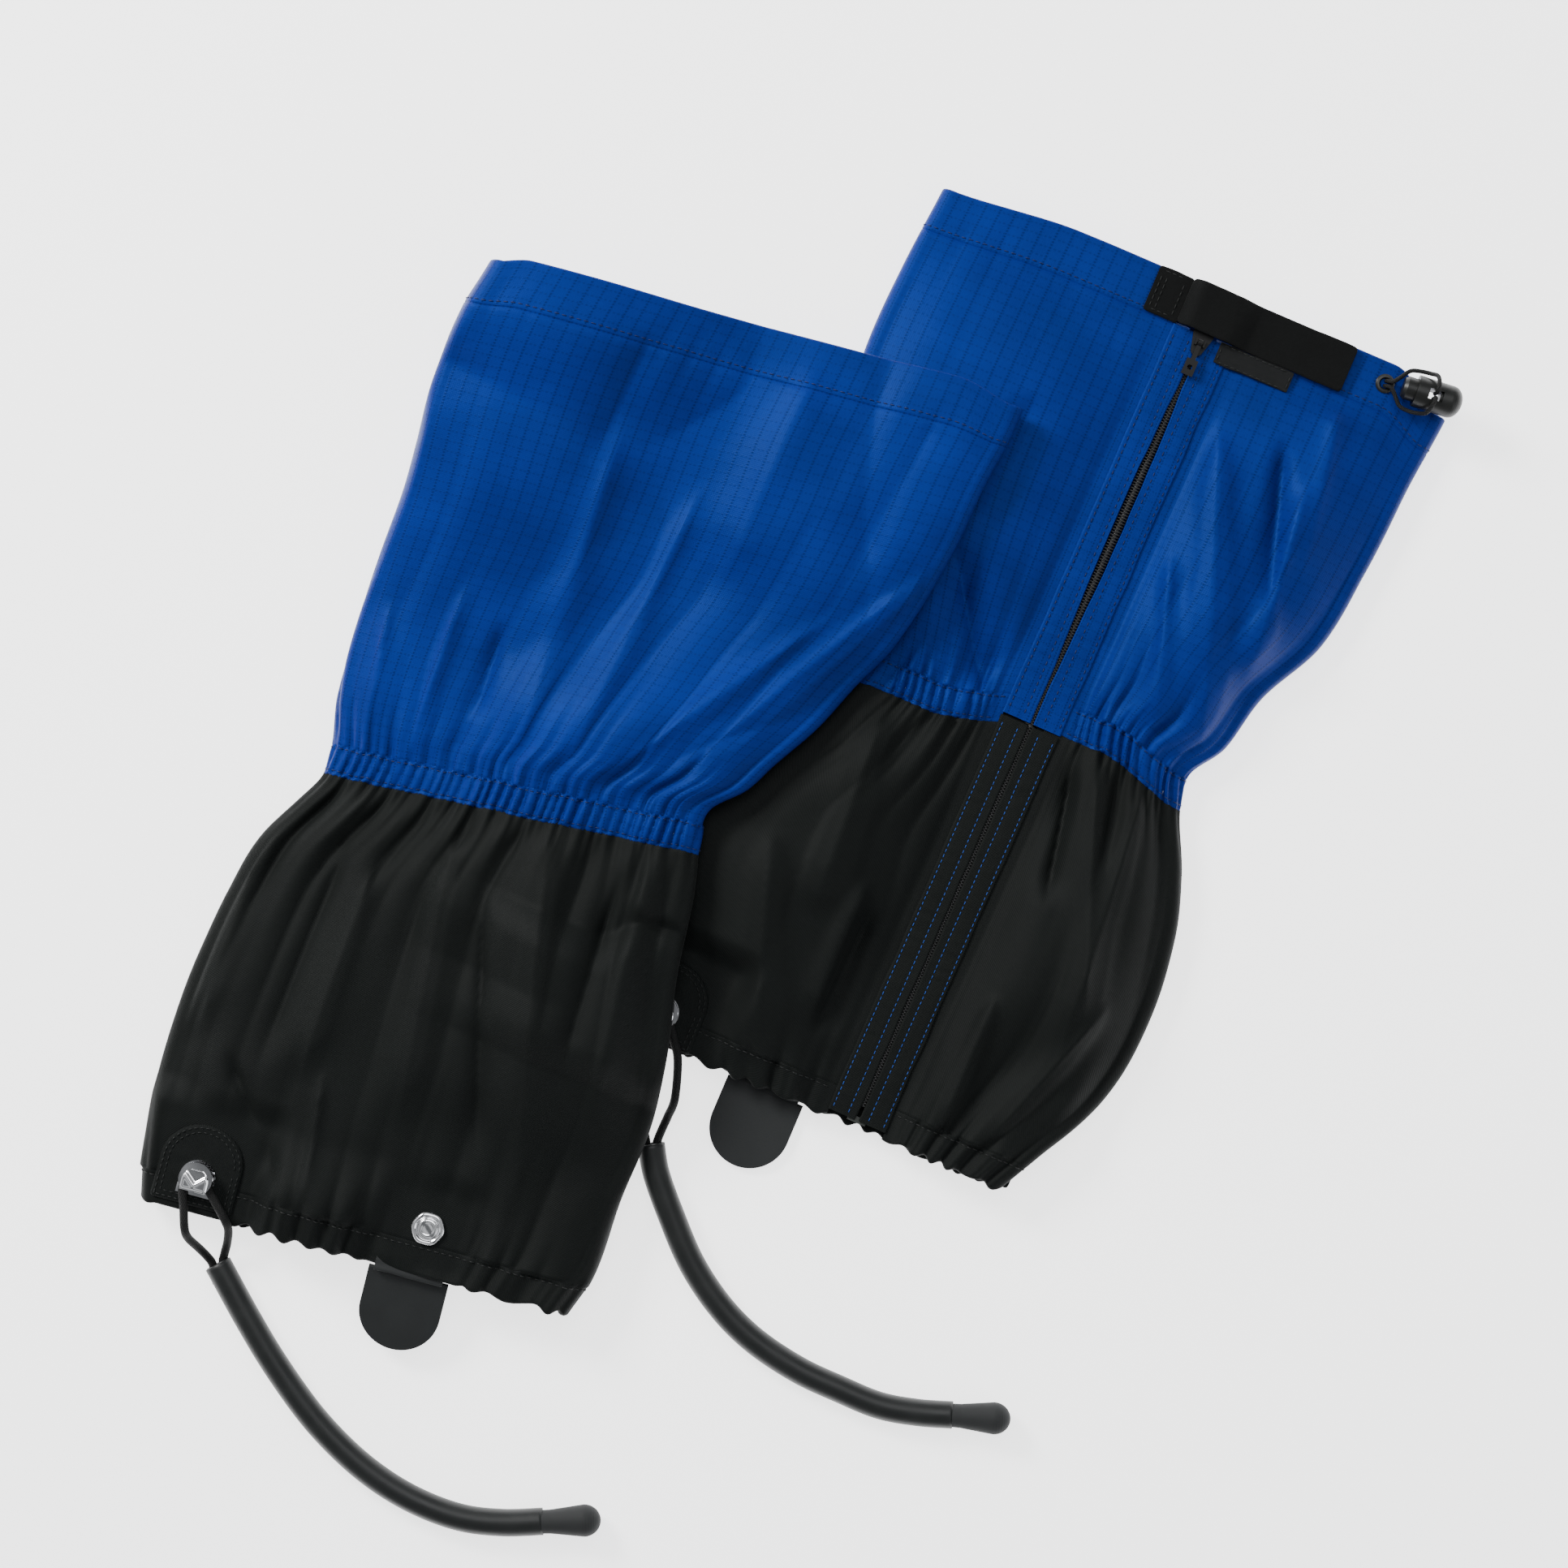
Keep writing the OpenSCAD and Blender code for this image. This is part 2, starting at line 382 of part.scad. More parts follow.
// ---- side hooks, lace hook and rivets ----
PATCH = 1;
PATCH_WIDE = 35;
module hook_patches(g) color(BLACK) for (i = [0, 1]) on_side_hook(g, i) linear_extrude(PATCH)
    intersection() {
        union() {
            translate([-PATCH_WIDE / 2, -12]) square([PATCH_WIDE, 18]);
            translate([0, 6]) circle(PATCH_WIDE / 2);
        }
        translate([-PATCH_WIDE / 2, -12]) square([PATCH_WIDE, 34]);
    }
HOOK_WIDE = 15;
HOOK_GAP = 4.6;
METAL = 1;
NECK = 3.9;                 // the neck that holds the cap, below the hook's middle
module hook_outline(d) intersection() {
    circle(d = d);
    translate([-d, -d * 0.36]) square([2 * d, 2 * d]);
}
module side_hooks(g) color([0.8, 0.8, 0.82]) for (i = [0, 1]) on_side_hook(g, i) {
    translate([0, 0, PATCH]) linear_extrude(METAL) difference() {
        union() {
            hook_outline(HOOK_WIDE);
            translate([-HOOK_WIDE / 2, -7.4]) square([HOOK_WIDE, 4]);
        }
        for (x = [-5, 5]) translate([x, 1]) circle(RIVET_HOLE);
    }
    translate([0, -NECK, PATCH]) cylinder(r = 1.6, h = 2 * METAL + HOOK_GAP);
    translate([0, 0, PATCH + METAL + HOOK_GAP]) linear_extrude(METAL) hook_outline(HOOK_WIDE - 1);
}
RIVET_HOLE = 1.2;
RIVET_HEAD = 0.25;
module hook_rivets(g) color([0.7, 0.7, 0.72]) for (i = [0, 1]) on_side_hook(g, i) for (x = [-5, 5])
    translate([x, 1, PATCH]) {
        cylinder(r = RIVET_HOLE, h = METAL);
        translate([0, 0, METAL]) cylinder(r1 = RIVET_HOLE + 0.5, r2 = RIVET_HOLE, h = RIVET_HEAD);
    }
module on_front(g) {
    p = FRONT_RIVET[g];
    on(g, p[0], p[1], front_face(g, p[0], p[1]), -1) children();
}
// the lace hook inside, the rivet and its ring outside
module lace_hook(g) color([0.8, 0.8, 0.82]) on_front(g) {
    linear_extrude(1.1) difference() {
        circle(d = 13.6, $fn = 12);
        circle(d = 9.4);
    }
    cylinder(d = 8.4, h = 1.9);
    translate([0, 0, -cloth - SEWN_ON]) mirror([0, 0, 1]) {
        translate([-5, -7, 0]) cube([10, 14, 0.9]);
        translate([-4, 3.2, 0.9]) cube([8, 0.9, 2.6]);
        translate([-4, -6.6, 3.5]) cube([8, 10.7, 0.9]);
    }
}

// ---- front tab ----
TAB_LONG = 33;
TAB_THICK = 2;
TAB_DROP = [0, -14];        // turn of the tab at rest about its root
module front_tab(g) color([0.07, 0.07, 0.07]) {
    p = TAB[g];
    z = front_face(g, p[0], p[1] + 2) + (g == RIGHT ? 1 : -1) * hem_depth / 2;
    on(g, p[0], p[1], z, g == RIGHT ? 1 : -1) rotate([-TAB_DROP[g], 0, 0]) {
        translate([0, 0, -TAB_THICK / 2]) linear_extrude(TAB_THICK) {
            translate([-tab_width / 2, -TAB_LONG + tab_width / 2])
                square([tab_width, TAB_LONG - tab_width / 2]);
            intersection() {
                translate([0, -TAB_LONG + tab_width / 2]) circle(d = tab_width);
                translate([-tab_width / 2, -TAB_LONG]) square([tab_width, TAB_LONG]);
            }
        }
        translate([-tab_width / 2, 0, 0]) rotate([0, 90, 0]) cylinder(d = TAB_THICK, h = tab_width);
    }
}

// ---- instep straps: an elastic loop on the side hook, a rubber tube on the floor and its end cap ----
TUBE_Z = tube_diameter / 2 + 0.1;
TUBE = [
    [[-63, -158], [-61, -170], [-55, -187], [-46, -208], [-34, -226], [-20, -240], [-2, -252], [15, -260],
     [32, -267], [48, -270], [62, -271]],
    [[-244, -208], [-232, -230], [-220, -250], [-205, -271], [-190, -287], [-175, -299], [-159, -308],
     [-142, -314], [-125, -316], [-109, -315.5]]];
LOOP_HALF = 8.5;            // half the widest distance between the strands
function side_hook_xy(g) = place(g, SIDE_HOOKS[g][0][0], SIDE_HOOKS[g][0][1]);
module strap_tube(g) color([0.08, 0.08, 0.08])
    cord([for (p = through(TUBE[g], 4)) [p.x, p.y, TUBE_Z]], tube_diameter / 2, 12);
module strap_end_cap(g) color([0.1, 0.1, 0.1]) {
    n = len(TUBE[g]);
    d = TUBE[g][n - 1] - TUBE[g][n - 2];
    translate([TUBE[g][n - 1].x, TUBE[g][n - 1].y, CAP_Z]) rotate([0, 0, atan2(d.y, d.x)])
        rotate([0, 90, 0]) rotate_extrude() polygon(concat([[0, GAP], [4.9, GAP], [5, 4]],
            [for (a = [0:10:80]) [6.7 * cos(a), 18 + 7 * sin(a)]], [[0, 25]]));
}
CAP_Z = 6.8;
function beside(dir) = [-dir.y, dir.x];
function strand_point(h, dir, off, p, side) =
    let (q = h + dir * p[0] + beside(dir) * (side * p[1] + off * p[3])) [q.x, q.y, p[2]];
module strap_loop(g) color([0.07, 0.07, 0.07]) {
    h = side_hook_xy(g);
    m = TUBE[g][0];
    dir = unit(m - h);
    off = (place(g, SIDE_HOOKS[g][0][0], SIDE_HOOKS[g][0][1] - NECK) - h) * beside(dir);
    top = (g == RIGHT ? zip_face(g, SIDE_HOOKS[g][0][0], SIDE_HOOKS[g][0][1])
                      : front_face(g, SIDE_HOOKS[g][0][0], SIDE_HOOKS[g][0][1]))
        + SEWN_ON + PATCH + METAL + HOOK_GAP / 2;
    length = norm(m - h);
    // [along, across, height, share of the neck's offset] of one strand, from the bight behind the neck to the tube
    strand = [[-0.9, 0, top, 1], [0, 2.8, top, 1], [3.4, 4.9, top, 1], [10, 6.4, top, 0.5], [19, LOOP_HALF, top, 0],
              [0.63 * length, LOOP_HALF, top * 0.8, 0], [0.78 * length, 6, top * 0.46, 0],
              [0.9 * length, 3.6, 6.3, 0], [length, 2.1, TUBE_Z, 0]];
    route = concat([for (i = [len(strand) - 1:-1:1]) strand_point(h, dir, off, strand[i], -1)],
                   [for (p = strand) strand_point(h, dir, off, p, 1)]);
    cord(through(route, 3), shock_cord / 2, 8);
}

module laid_out() translate([-ORIGIN.x, -ORIGIN.y, 0]) children();
laid_out() top_hem(RIGHT);  // right_top_hem
laid_out() upper_panel(RIGHT);  // right_upper_panel
laid_out() waist_casing(RIGHT);  // right_waist_casing
laid_out() lower_panel(RIGHT);  // right_lower_panel
laid_out() bottom_casing(RIGHT);  // right_bottom_casing
laid_out() elastics(RIGHT);  // right_elastics
laid_out() drawcord(RIGHT);  // right_drawcord
laid_out() upper_facings(RIGHT);  // right_upper_facings
laid_out() lower_facings(RIGHT);  // right_lower_facings
laid_out() zip_tapes(RIGHT);  // right_zip_tapes
laid_out() zip_chain(RIGHT);  // right_zip_chain
laid_out() zip_slider(RIGHT);  // right_zip_slider
laid_out() zip_pull(RIGHT);  // right_zip_pull
laid_out() zip_retainer(RIGHT);  // right_zip_retainer
laid_out() flap_anchor(RIGHT);  // right_flap_anchor
laid_out() closure_flap(RIGHT);  // right_closure_flap
laid_out() fabric_label(RIGHT);  // right_fabric_label
laid_out() eyelet(RIGHT);  // right_eyelet
laid_out() cord_loop(RIGHT);  // right_cord_loop
laid_out() lock_barrel(RIGHT);  // right_lock_barrel
laid_out() lock_plunger(RIGHT);  // right_lock_plunger
laid_out() lock_spring(RIGHT);  // right_lock_spring
laid_out() hook_patches(RIGHT);  // right_hook_patches
laid_out() side_hooks(RIGHT);  // right_side_hooks
laid_out() hook_rivets(RIGHT);  // right_hook_rivets
laid_out() lace_hook(RIGHT);  // right_lace_hook
laid_out() front_tab(RIGHT);  // right_front_tab
laid_out() strap_loop(RIGHT);  // right_strap_loop
laid_out() strap_tube(RIGHT);  // right_strap_tube
laid_out() strap_end_cap(RIGHT);  // right_strap_end_cap
laid_out() top_hem(LEFT);  // left_top_hem
laid_out() upper_panel(LEFT);  // left_upper_panel
laid_out() waist_casing(LEFT);  // left_waist_casing
laid_out() lower_panel(LEFT);  // left_lower_panel
laid_out() bottom_casing(LEFT);  // left_bottom_casing
laid_out() elastics(LEFT);  // left_elastics
laid_out() drawcord(LEFT);  // left_drawcord
laid_out() upper_facings(LEFT);  // left_upper_facings
laid_out() lower_facings(LEFT);  // left_lower_facings
laid_out() zip_tapes(LEFT);  // left_zip_tapes
laid_out() zip_chain(LEFT);  // left_zip_chain
laid_out() zip_slider(LEFT);  // left_zip_slider
laid_out() zip_pull(LEFT);  // left_zip_pull
laid_out() zip_retainer(LEFT);  // left_zip_retainer
laid_out() flap_anchor(LEFT);  // left_flap_anchor
laid_out() closure_flap(LEFT);  // left_closure_flap
laid_out() fabric_label(LEFT);  // left_fabric_label
laid_out() eyelet(LEFT);  // left_eyelet
laid_out() cord_loop(LEFT);  // left_cord_loop
laid_out() lock_barrel(LEFT);  // left_lock_barrel
laid_out() lock_plunger(LEFT);  // left_lock_plunger
laid_out() lock_spring(LEFT);  // left_lock_spring
laid_out() hook_patches(LEFT);  // left_hook_patches
laid_out() side_hooks(LEFT);  // left_side_hooks
laid_out() hook_rivets(LEFT);  // left_hook_rivets
laid_out() lace_hook(LEFT);  // left_lace_hook
laid_out() front_tab(LEFT);  // left_front_tab
laid_out() strap_loop(LEFT);  // left_strap_loop
laid_out() strap_tube(LEFT);  // left_strap_tube
laid_out() strap_end_cap(LEFT);  // left_strap_end_cap
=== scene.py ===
"""The looks of a pair of trekking gaiters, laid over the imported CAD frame."""
import math
import bpy
import numpy as np
from mathutils import Matrix, Vector


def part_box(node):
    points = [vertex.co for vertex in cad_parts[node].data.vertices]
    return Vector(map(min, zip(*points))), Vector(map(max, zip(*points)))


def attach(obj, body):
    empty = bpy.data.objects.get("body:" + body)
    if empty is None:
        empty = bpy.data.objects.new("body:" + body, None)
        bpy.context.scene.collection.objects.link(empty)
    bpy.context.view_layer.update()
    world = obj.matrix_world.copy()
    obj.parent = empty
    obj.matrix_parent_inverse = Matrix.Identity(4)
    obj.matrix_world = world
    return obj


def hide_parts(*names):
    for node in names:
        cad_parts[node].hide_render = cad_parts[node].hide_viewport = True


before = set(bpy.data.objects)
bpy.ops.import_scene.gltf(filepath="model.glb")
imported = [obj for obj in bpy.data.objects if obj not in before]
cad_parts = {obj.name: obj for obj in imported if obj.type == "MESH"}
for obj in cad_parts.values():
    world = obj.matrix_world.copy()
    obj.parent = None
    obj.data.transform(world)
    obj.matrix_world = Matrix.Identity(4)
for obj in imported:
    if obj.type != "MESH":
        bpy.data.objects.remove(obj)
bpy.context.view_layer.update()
MM = 0.001
RIGHT, LEFT = 0, 1
SIDE = ["right", "left"]

# ------------------------------------------------------------------ places, worked out from the frame
TURN = [math.radians(23), math.radians(15)]
EYELET = [(161, 241), (-153, 160)]           # across and up each gaiter, mm
EYELET_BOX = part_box("right_eyelet")


def turn(g, u, v):
    return u * math.cos(TURN[g]) + v * math.sin(TURN[g]), v * math.cos(TURN[g]) - u * math.sin(TURN[g])


ZERO = [(lo + hi) / 2 / MM - t for lo, hi, t in zip(*EYELET_BOX, turn(RIGHT, *EYELET[RIGHT]))]


def place(g, u, v):
    x, y = turn(g, u, v)
    return x + ZERO[0], y + ZERO[1]


def unplace(g, x, y):
    x, y = x - ZERO[0], y - ZERO[1]
    return x * math.cos(TURN[g]) - y * math.sin(TURN[g]), x * math.sin(TURN[g]) + y * math.cos(TURN[g])


# ------------------------------------------------------------------ camera
VIEW = (-4.5 * MM, -6.4 * MM)               # middle of the view
HIGH = 1.6
cam = bpy.data.objects.new("camera", bpy.data.cameras.new("camera"))
cam.location = (VIEW[0], VIEW[1], HIGH)
cam.data.lens = 36 * (HIGH - 0.01) / 0.653
cam.data.sensor_width = 36
bpy.context.scene.collection.objects.link(cam)
bpy.context.scene.camera = cam

# ------------------------------------------------------------------ outlines of the two flattened tubes
EDGE_L = [
    [(-130, -35), (-105, -56), (-75, -67), (-45, -70), (-15, -58), (15, -26), (42, -8), (56, -7), (75, -14),
     (110, -30), (140, -40), (170, -44), (210, -43), (250, -40)],
    [(-245, -219), (-225, -223), (-197, -226), (-169, -226), (-141, -223), (-112, -218), (-83, -210),
     (-54, -193), (-40, -191), (-18, -195), (12, -195), (40, -193), (70, -190), (115, -189), (150, -184),
     (171, -178)]]
EDGE_R = [
    [(-130, 144), (-111, 154), (-80, 170), (-45, 175), (-6, 171), (20, 163), (42, 152), (56, 150), (75, 160),
     (101, 166), (130, 180), (165, 185), (210, 188), (250, 191)],
    [(-245, -36), (-225, -29), (-193, -26), (-161, -22), (-128, -23), (-100, -27), (-70, -29), (-44, -33),
     (-31, -32), (-20, -20), (-7, -12), (14, 1), (36, 12), (57, 24), (99, 37), (127, 42), (150, 47), (171, 50)]]
SWELL = [
    [(-130, 2), (-110, 6), (-75, 11), (-40, 13), (10, 9), (40, 4), (58, 4), (85, 8), (130, 11), (180, 8),
     (215, 3), (229, 0), (250, 0)],
    [(-245, 2), (-215, 8), (-150, 12), (-90, 9), (-50, 4), (-36, 4), (0, 8), (60, 9), (110, 6), (145, 2),
     (171, 0)]]
BOTTOM, BOTTOM_TOP = [-130, -245], [-117, -232]
WAIST, WAIST_TOP = [42, -50], [54, -38]
HEM, TOP = [230, 151], [250, 171]
ZIP_FOOT = [(78.5, -128), (-158, -243)]
ZIP_SLOPE = [0.014, 0.2144]
ZIP_TURN = [math.radians(-0.8), math.radians(12.1)]
ZIP_Z = [12, 9]
FLAT, FOLD, THICK = 17, 6, 12
SIDE_HOOKS = [[(-14, -117), (130, -117)], [(-198, -230), (-66, -232)]]
FRONT_RIVET = [(39, -109), (-100, -225)]
TAB = [(39, -131.9), (-103, -246.9)]
LOCK_Z = [12, 17.2]
ZIP_PADS = [[(-14, -112, 23, 22, 13.5), (130, -112, 23, 22, 18.4)], [(-66, -227, 23, 22, 8.2)]]
FRONT_PADS = [[(130, -112, 23, 22, 8.2), (39, -109, 12, 12, 3)],
              [(-198, -225, 23, 22, 15.5), (-66, -227, 23, 22, 23), (-100, -225, 14, 14, 21)]]


def ease(t):
    k = np.clip(t, 0, 1)
    return k * k * (3 - 2 * k)


def plateau(d, full, none):
    return 1 - ease((np.abs(d) - full) / (none - full))


def curve(x, table):
    """A smooth curve through the table's points."""
    xs, ys = np.array(table, float).T
    m = np.gradient(ys, xs) if len(xs) > 2 else np.full(2, (ys[1] - ys[0]) / (xs[1] - xs[0]))
    m[1:-1] = (ys[2:] - ys[:-2]) / (xs[2:] - xs[:-2])
    x = np.asarray(x, float)
    i = np.clip(np.searchsorted(xs, x, side="right") - 1, 0, len(xs) - 2)
    w = xs[i + 1] - xs[i]
    k = np.clip((x - xs[i]) / w, 0, 1)
    return (ys[i] * (1 + 2 * k) * (1 - k) ** 2 + ys[i + 1] * k * k * (3 - 2 * k)
            + m[i] * w * k * (1 - k) ** 2 - m[i + 1] * w * k * k * (1 - k))


def arch(q):
    return np.sin(np.pi * np.clip(q, 0, 1)) ** 0.7


def zip_u(g, v):
    return ZIP_FOOT[g][0] + ZIP_SLOPE[g] * (v - ZIP_FOOT[g][1])


def padded(h, u, v, pads, hidden):
    for a, b, hu, hv, z in pads:
        beside = (46 if a < 0 else 14) if a in hidden else 12
        above = 46 if a in hidden else 12
        h = h + (z - h) * plateau(u - a, hu, hu + beside) * plateau(v - b, hv, hv + above)
    return h


def zip_face_right(u, v):
    z, r, l = zip_u(RIGHT, v), curve(v, EDGE_R[RIGHT]) - FOLD, curve(v, EDGE_L[RIGHT]) + FOLD
    q = np.where(u > z, (u - z - FLAT - 1) / (r - z - FLAT), (z - FLAT - 1 - u) / (z - FLAT - l))
    return ZIP_Z[RIGHT] + curve(v, SWELL[RIGHT]) * arch(q) - 2 * ease(4 * q - 3)


def under_left(u, v, soft=27):
    """How high the left gaiter lies, where it lies on the right one; soft is the width of the slope beside it."""
    a, b = unplace(RIGHT, *place(LEFT, u, v))
    edge = curve(b, EDGE_L[RIGHT])
    near = np.maximum(a, edge + 12)
    hook = SIDE_HOOKS[RIGHT][0]
    lift = 21 * plateau(np.hypot(near - hook[0], b - hook[1]), 26, 60)
    top = np.maximum(zip_face(RIGHT, near, np.maximum(b, -128)), lift)
    return (top + 2) * ease((a - edge + 4 + soft) / soft) * curve(
        b, [(-215, 0), (-195, 0.32), (-170, 0.66), (-145, 0.95), (-132, 1), (250, 1)])


def zip_ridge(u, v):
    d, wide = u - zip_u(LEFT, v), ease((v - 100) / 36)
    return ZIP_Z[LEFT] * plateau(np.minimum(d, 0), FLAT + 2 + 80 * wide, FLAT + 26 + 90 * wide) \
        * plateau(np.maximum(d, 0), FLAT + 2 + 17 * wide, FLAT + 26 + 24 * wide)


def zip_face_left(u, v):
    d = u - zip_u(LEFT, v)
    lock = np.where(v > 80, LOCK_Z[LEFT] * ease((v - 88) / 26) * ease((-63 - d) / 10), 0)
    return np.maximum(np.maximum(zip_ridge(u, v), under_left(u, v)), lock)


def front_face_left(u, v):
    r, l = curve(v, EDGE_R[LEFT]) - FOLD, curve(v, EDGE_L[LEFT]) + FOLD
    q = (u - l) / (r - l)
    open_ = ease((v + 230) / 30) * ease((150 - v) / 40)
    lock = LOCK_Z[LEFT] * ease((v - 5) / 108) * ease((25 - u + zip_u(LEFT, v)) / 98)
    lift = np.maximum(under_left(u, v, 84), (1 - open_) * zip_ridge(u, v))
    return (lift + lock * ease((LOCK_Z[LEFT] + 4 - lift) / 12) + THICK
            - 2 * (ease(1 - 8 * q) + ease(8 * q - 7)) + curve(v, SWELL[LEFT]) * arch(q))


def zip_face(g, u, v):
    return padded(zip_face_right(u, v) if g == RIGHT else zip_face_left(u, v), u, v, ZIP_PADS[g], (130,))


def front_face(g, u, v):
    return padded(0 * u if g == RIGHT else front_face_left(u, v), u, v, FRONT_PADS[g], (-66,))


def drift(g, u, s):
    """How far the seams wander from straight lines across the tube."""
    if g == RIGHT:
        return 12 * plateau(u - 100, 10, 62) * plateau(s - 48, 8, 70) \
            - (5 * ease((20 - u) / 60) + 14 * ease((u - 162) / 30)) * ease((s - 195) / 55)
    return 0.055 * (u + 112) * plateau(s + 45, 8, 80) \
        - (4 * ease((-160 - u) / 18) + 6 * ease((u - 20) / 30)) * ease((s - 130) / 40)


# ------------------------------------------------------------------ the way round a tube
class Way:
    """Columns round a tube from one side of the slit to the other: part 0 zip face to the right, 1 right fold,
    2 front face, 3 left fold, 4 zip face to the left; near are the columns between the slit and FLAT."""

    def __init__(self, g, edge, step):
        self.g, self.edge = g, edge
        s = 0.5 * (BOTTOM[g] + TOP[g])
        z, r, l = zip_u(g, s), curve(s, EDGE_R[g]) - FOLD, curve(s, EDGE_L[g]) + FOLD
        part, q = [], []

        def add(p, values):
            part.extend([p] * len(values))
            q.extend(values)
        n = max(2, round((FLAT - edge) / step))
        add(0, list(np.linspace(-1, 0, n, endpoint=False)) + list(np.linspace(0, 1, round((r - z) / step))))
        add(1, list(np.linspace(90, -90, max(8, round(16 / step)) + 2)[1:-1]))
        add(2, list(np.linspace(0, 1, round((r - l) / step))))
        add(3, list(np.linspace(-90, 90, max(8, round(16 / step)) + 2)[1:-1]))
        add(4, list(np.linspace(1, 0, round((z - l) / step))) + list(np.linspace(0, -1, n + 1)[1:]))
        self.part, self.q = np.array(part), np.array(q)
        u, h, _ = self.flat(np.full(len(part), float(s)), np.zeros(len(part)))
        self.x = np.concatenate([[0], np.cumsum(np.hypot(np.diff(u), np.diff(h)))])
        self.x -= self.x[-1] / 2

    def flat(self, s, inset):
        """(u, height, v) of the plain skin."""
        g, part, q = self.g, self.part, self.q
        z, r, l = zip_u(g, s), curve(s, EDGE_R[g]) - FOLD, curve(s, EDGE_L[g]) + FOLD
        up = 1 if g == RIGHT else -1
        a = np.radians(q)
        gap = self.edge + (q + 1) * (FLAT - self.edge)
        u = np.where(part == 0, np.where(q < 0, z + gap, z + FLAT + q * (r - z - FLAT)),
                     np.where(part == 4, np.where(q < 0, z - gap, z - FLAT - q * (z - FLAT - l)),
                              np.where(part == 2, r + q * (l - r),
                                       np.where(part == 1, r + (FOLD - inset) * np.cos(a),
                                                l - (FOLD - inset) * np.cos(a)))))
        at = np.where(part == 1, r, np.where(part == 3, l, u))
        v = s + drift(g, at, s)
        zz, ff = zip_face(g, at, v), front_face(g, at, v)
        h = np.where((part == 0) | (part == 4), zz - up * inset,
                     np.where(part == 2, ff + up * inset,
                              (zz + ff) / 2 + up * (np.abs(zz - ff) / 2 - inset) * np.sin(a)))
        return u, h, v


# ------------------------------------------------------------------ noise and gathers
TABLE = np.random.default_rng(7).random((64, 256))


def noise(x, seed):
    """Smooth noise from -1 to 1 along a line."""
    i = np.floor(x).astype(int)
    k = ease(x - i)
    row = TABLE[seed % 64]
    return 2 * (row[i % 256] * (1 - k) + row[(i + 1) % 256] * k) - 1


def noise2(x, y, seed):
    """Smooth noise from -1 to 1 over a plane."""
    i, j = np.floor(x).astype(int), np.floor(y).astype(int)
    a, b = ease(x - i), ease(y - j)

    def corner(di, dj):
        return TABLE[(j + dj + seed) % 64, (i + di + 17 * seed) % 256]
    return 2 * ((corner(0, 0) * (1 - a) + corner(1, 0) * a) * (1 - b)
                + (corner(0, 1) * (1 - a) + corner(1, 1) * a) * b) - 1


def gathers(x, wave, seed):
    """Uneven pleats across x: rounded crests with narrow valleys, about -1 to 1."""
    a = 2 * np.pi * x / wave + 2.4 * noise(x / (2.2 * wave), seed)
    size = 0.75 + 0.45 * noise(x / (1.7 * wave), seed + 1)
    return size * (2 * np.abs(np.cos(a / 2)) ** 0.7 - 1.15)


def cover(g, u, v):
    """1 where the two gaiters lie on each other."""
    o = 1 - g
    a, b = unplace(o, *place(g, u, v))
    return ease((a - curve(b, EDGE_L[o]) + 14) / 8) * ease((curve(b, EDGE_R[o]) + 14 - a) / 8) \
        * ease((b - BOTTOM[o] + 55) / 15) * ease((TOP[o] + 10 - b) / 6)


# long soft folds: (u0, v0, u1, v1, half width, height) on the zip face and on the front
FOLDS = [
    {0: [(108, 187, 147, 78, 14, 4), (133, 197, 152, 136, 9, -3), (148, 181, 155, 111, 9, 3),
         (108, 135, 126, 77, 8, 2), (26, 104, 55, 61, 16, -4), (12, 94, 16, 59, 5, 3), (29, 175, 29, 124, 16, -2.5),
         (147, 225, 158, 157, 12, 2), (23, 26, 27, -46, 14, 4), (113, 46, 147, -50, 10, 4), (105, 39, 114, -9, 6, -3),
         (135, 37, 144, -70, 9, 3), (50, -47, 48, -96, 10, -3), (43, -39, 44, -94, 9, 3), (2, -38, 26, -112, 14, 4),
         (111, -62, 111, -113, 8, 3), (153, -48, 132, -111, 8, 3)], 2: []},
    {0: [], 2: [(-182, 15, -177, -43, 8, 2.5), (-154, 30, -160, -42, 9, 2.5), (-135, 21, -136, -14, 6, -2),
                (-108, 105, -115, -26, 14, 3), (-72, 87, -94, -27, 12, 3), (-106, 151, -115, 103, 14, -2),
                (-11, 54, -74, -22, 9, 3), (19, 76, -50, -19, 8, 3), (40, 100, -30, -3, 7, 2),
                (-37, 152, -50, 72, 25, 3), (16, 152, -1, 85, 20, -2), (-208, -83, -214, -165, 12, 4),
                (-175, -88, -185, -171, 10, -3), (-161, -91, -167, -170, 12, 4), (-131, -69, -124, -175, 14, 4),
                (-111, -92, -90, -184, 8, -3), (-91, -65, -69, -196, 14, 4), (-61, -71, -63, -142, 8, -3),
                (-50, -61, -46, -154, 10, 3), (-196, -181, -167, -222, 7, -2.5), (-158, -178, -152, -228, 6, 2)]}]


def ridge(u, v, f):
    u0, v0, u1, v1, w, h = f
    du, dv = u1 - u0, v1 - v0
    n = math.hypot(du, dv)
    along = ((u - u0) * du + (v - v0) * dv) / n
    off = ((v - v0) * du - (u - u0) * dv) / n
    end = np.clip(along / n, 0, 1)
    soft = ease((along + 0.15 * n) / (0.3 * n)) * ease((1.15 * n - along) / (0.35 * n))
    off = np.abs(off / (w * (0.45 + 0.42 * end)))
    return 1.25 * h * soft * (0.45 * np.exp(-off ** 2) + 0.75 * np.exp(-1.9 * off))


